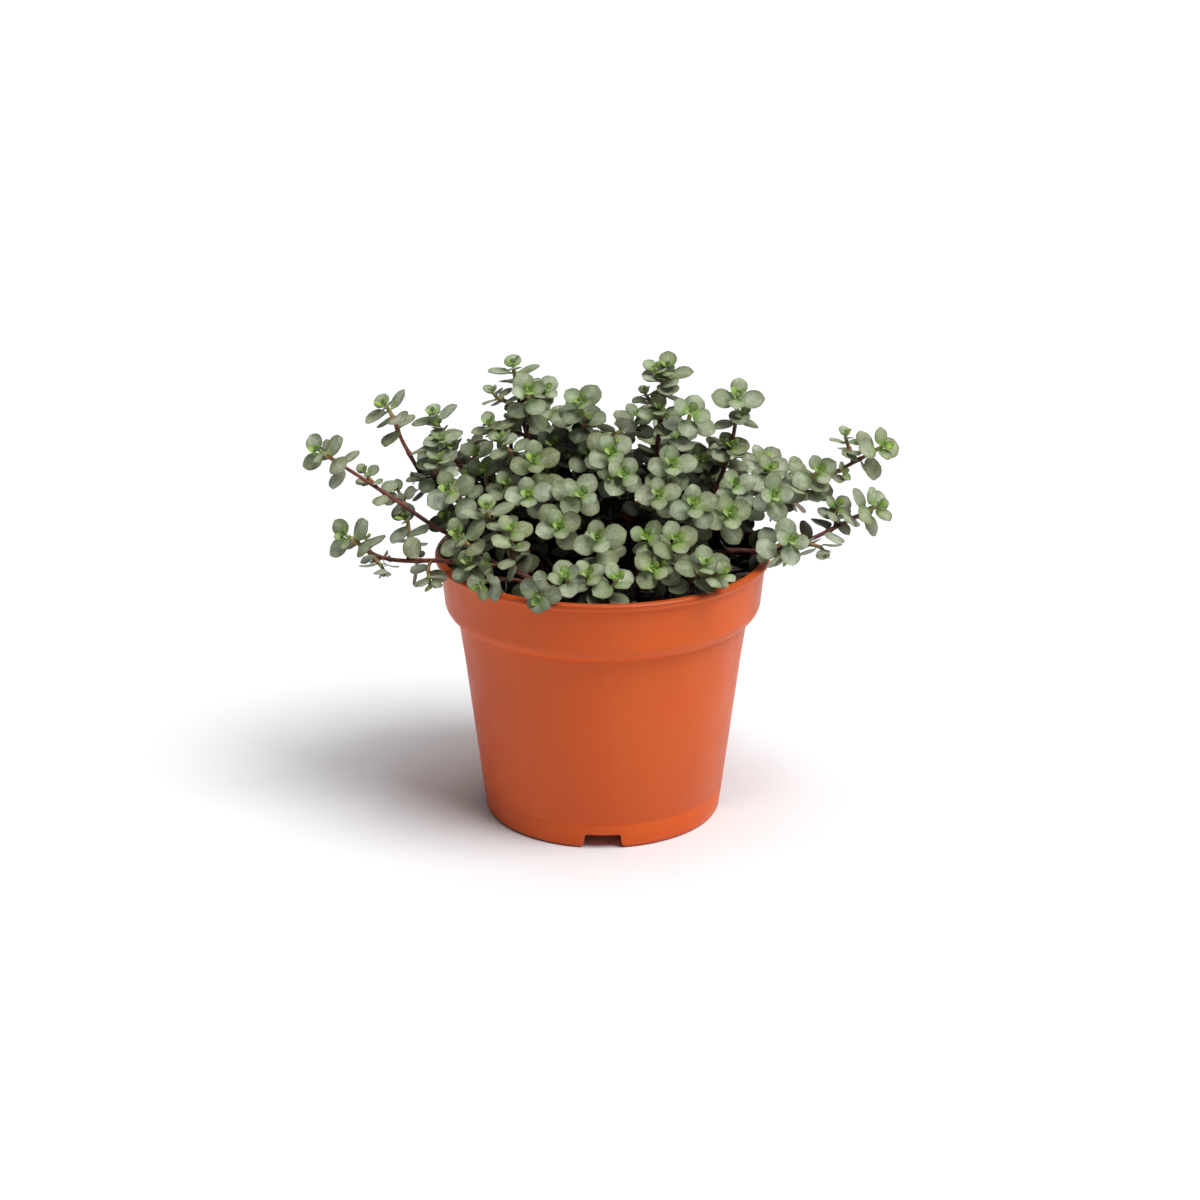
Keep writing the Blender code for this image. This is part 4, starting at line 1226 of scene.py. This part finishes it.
def make_plant(pot):
    """All the stems and their leaves. Crowns are set before older pairs, so that they get the room."""
    rng = random.Random(29)
    shoots = main_shoots()
    main_count = len(shoots)
    for top in SIDE_TOPS + INNER_TOPS + BACK_TOPS:
        shoots.append(side_shoot(shoots[:main_count], top))
    for shoot in shoots:
        set_pairs(shoot, rng)
    buds = []
    for shoot in shoots:
        for number, below, *_ in shoot.pairs:
            if number >= 3 and rng.random() < BUD_CHANCE:
                buds.append(bud_shoot(shoot, below, rng.uniform(0, math.tau), rng))
    space = Space(shoots, pot)
    forms = make_forms(rng)
    numbers = range(1, len(STEMS) + 1)

    # Painted shade: the shoots low inside the plant get dark tones, the others light ones
    inner = set(range(main_count + len(SIDE_TOPS), main_count + len(SIDE_TOPS + INNER_TOPS)))
    shades = [rng.uniform(0.0, 0.25) if i in inner else rng.uniform(0.5, 0.85) for i in range(len(shoots))]
    for i, shoot in enumerate(shoots + buds):
        shoot.hue = rng.uniform(0.2, 0.8)
        shoot.outer = i < main_count + len(SIDE_TOPS)
    leaves = []
    for rank, *_ in CROWN:
        for shoot, shade in zip(shoots, shades):
            for pair in shoot.pairs:
                if pair[0] == rank:
                    pair_leaves(shoot, pair, forms, space, rng, shade, leaves)
    for shoot, shade in zip(shoots, shades):
        for pair in shoot.pairs:
            if pair[0] > CROWN[-1][0]:
                pair_leaves(shoot, pair, forms, space, rng, shade, leaves)
    for bud in buds:
        for pair in bud.pairs:
            pair_leaves(bud, pair, forms, space, rng, 0.5, leaves)

    tree = canopy(leaves)
    layers = {number: leaf_layers() for number in numbers}
    for leaf in leaves:
        add_leaf(layers[leaf.stem], leaf, leaf_light(tree, leaf))

    bark = pilea_bark()
    leaf_look = frosted_leaf()
    tops = {number: [] for number in numbers}
    for count, shoot in enumerate(shoots[:main_count], 1):
        tops[shoot.stem].append(f"leafy_top_{count:02d}")
    for number in numbers:
        own = [shoot for shoot in shoots + buds if shoot.stem == number]
        make_wood(number, own, tree, bark)
        mesh = smooth(mesh_from(layers[number], f"stem_{number:02d}_leaves"), 75)
        add_piece(f"stem_{number:02d}_leaves", mesh, leaf_look, "leaf", *tops[number])
    return forms


def make_scraps(forms):
    """Withered leaves that lie on the soil inside the lip."""
    rng = random.Random(3)
    look = dried_leaf()
    bm = leaf_layers()
    for x, y in SCRAP_PLACES:
        place = Vector((x, y, soil_level(x, y) + 1.2))
        way = Vector((math.cos(rng.uniform(0, math.tau)), math.sin(rng.uniform(0, math.tau)), 0.15))
        upper = Vector((rng.uniform(-0.5, 0.5), rng.uniform(-0.5, 0.5), 1))
        frame_here = leaf_frame(place, way.normalized(), upper.normalized())
        form = forms[rng.randrange(len(forms))]
        add_leaf(bm, Leaf(0, form, frame_here, rng.uniform(4.5, 7.5), 0.5, 0, 0.5), 1)
    mesh = smooth(mesh_from(bm, "withered_leaves"), 75)
    return add_piece("withered_leaves", mesh, look, "leaf")


# Floor, light and camera

def make_stage():
    bm = bmesh.new()
    bmesh.ops.create_grid(bm, x_segments=1, y_segments=1, size=20)
    floor = placed("floor", mesh_from(bm, "floor"))
    floor.location.z = -0.0002
    look, tree, shader = start_material("white_paper_sweep", 0.9, 1.45, 0.0)
    shader.inputs["Base Color"].default_value = srgb("#e7e9eb")
    floor.data.materials.append(look)

    for name, strength, spread, way in (("softbox", SUN_STRENGTH, SUN_SPREAD, SUN_FROM),
                                        ("ceiling", CEILING_STRENGTH, CEILING_SPREAD, (0, 0, 1))):
        lamp = bpy.data.lights.new(name, "SUN")
        lamp.energy = strength
        lamp.angle = math.radians(spread)
        placed(name, lamp).rotation_euler = Vector(way).to_track_quat("Z", "Y").to_euler()

    world = bpy.data.worlds.new("studio")
    world.use_nodes = True
    tree = world.node_tree
    tree.nodes["Background"].inputs["Color"].default_value = (1, 1, 1, 1)
    way = node(tree, "ShaderNodeTexCoord").outputs["Generated"]
    sideways = node(tree, "ShaderNodeVectorMath", {0: way, 1: ROOM_SIDE}, operation="DOT_PRODUCT")
    span = (sideways.outputs["Value"], -1, 1, ROOM_DIM, ROOM_BRIGHT)
    room = node(tree, "ShaderNodeMapRange", dict(zip(RANGE, span))).outputs["Result"]
    seen = node(tree, "ShaderNodeLightPath").outputs["Is Camera Ray"]
    strength = node(tree, "ShaderNodeMath", {0: room, 1: seen}, operation="MAXIMUM").outputs["Value"]
    tree.links.new(strength, tree.nodes["Background"].inputs["Strength"])
    bpy.context.scene.world = world
    bpy.context.scene.view_settings.view_transform = "Standard"

    lens = bpy.data.cameras.new("camera")
    lens.lens = LENS
    lens.sensor_width = SENSOR
    camera = placed("camera", lens)
    camera.location = CAMERA_PLACE
    camera.rotation_euler = (math.pi / 2 - CAMERA_TILT, 0, 0)
    bpy.context.scene.camera = camera


make_stage()
pot_piece = make_pot()
make_soil()
make_grains()
make_fibres()
make_scraps(make_plant(pot_piece))
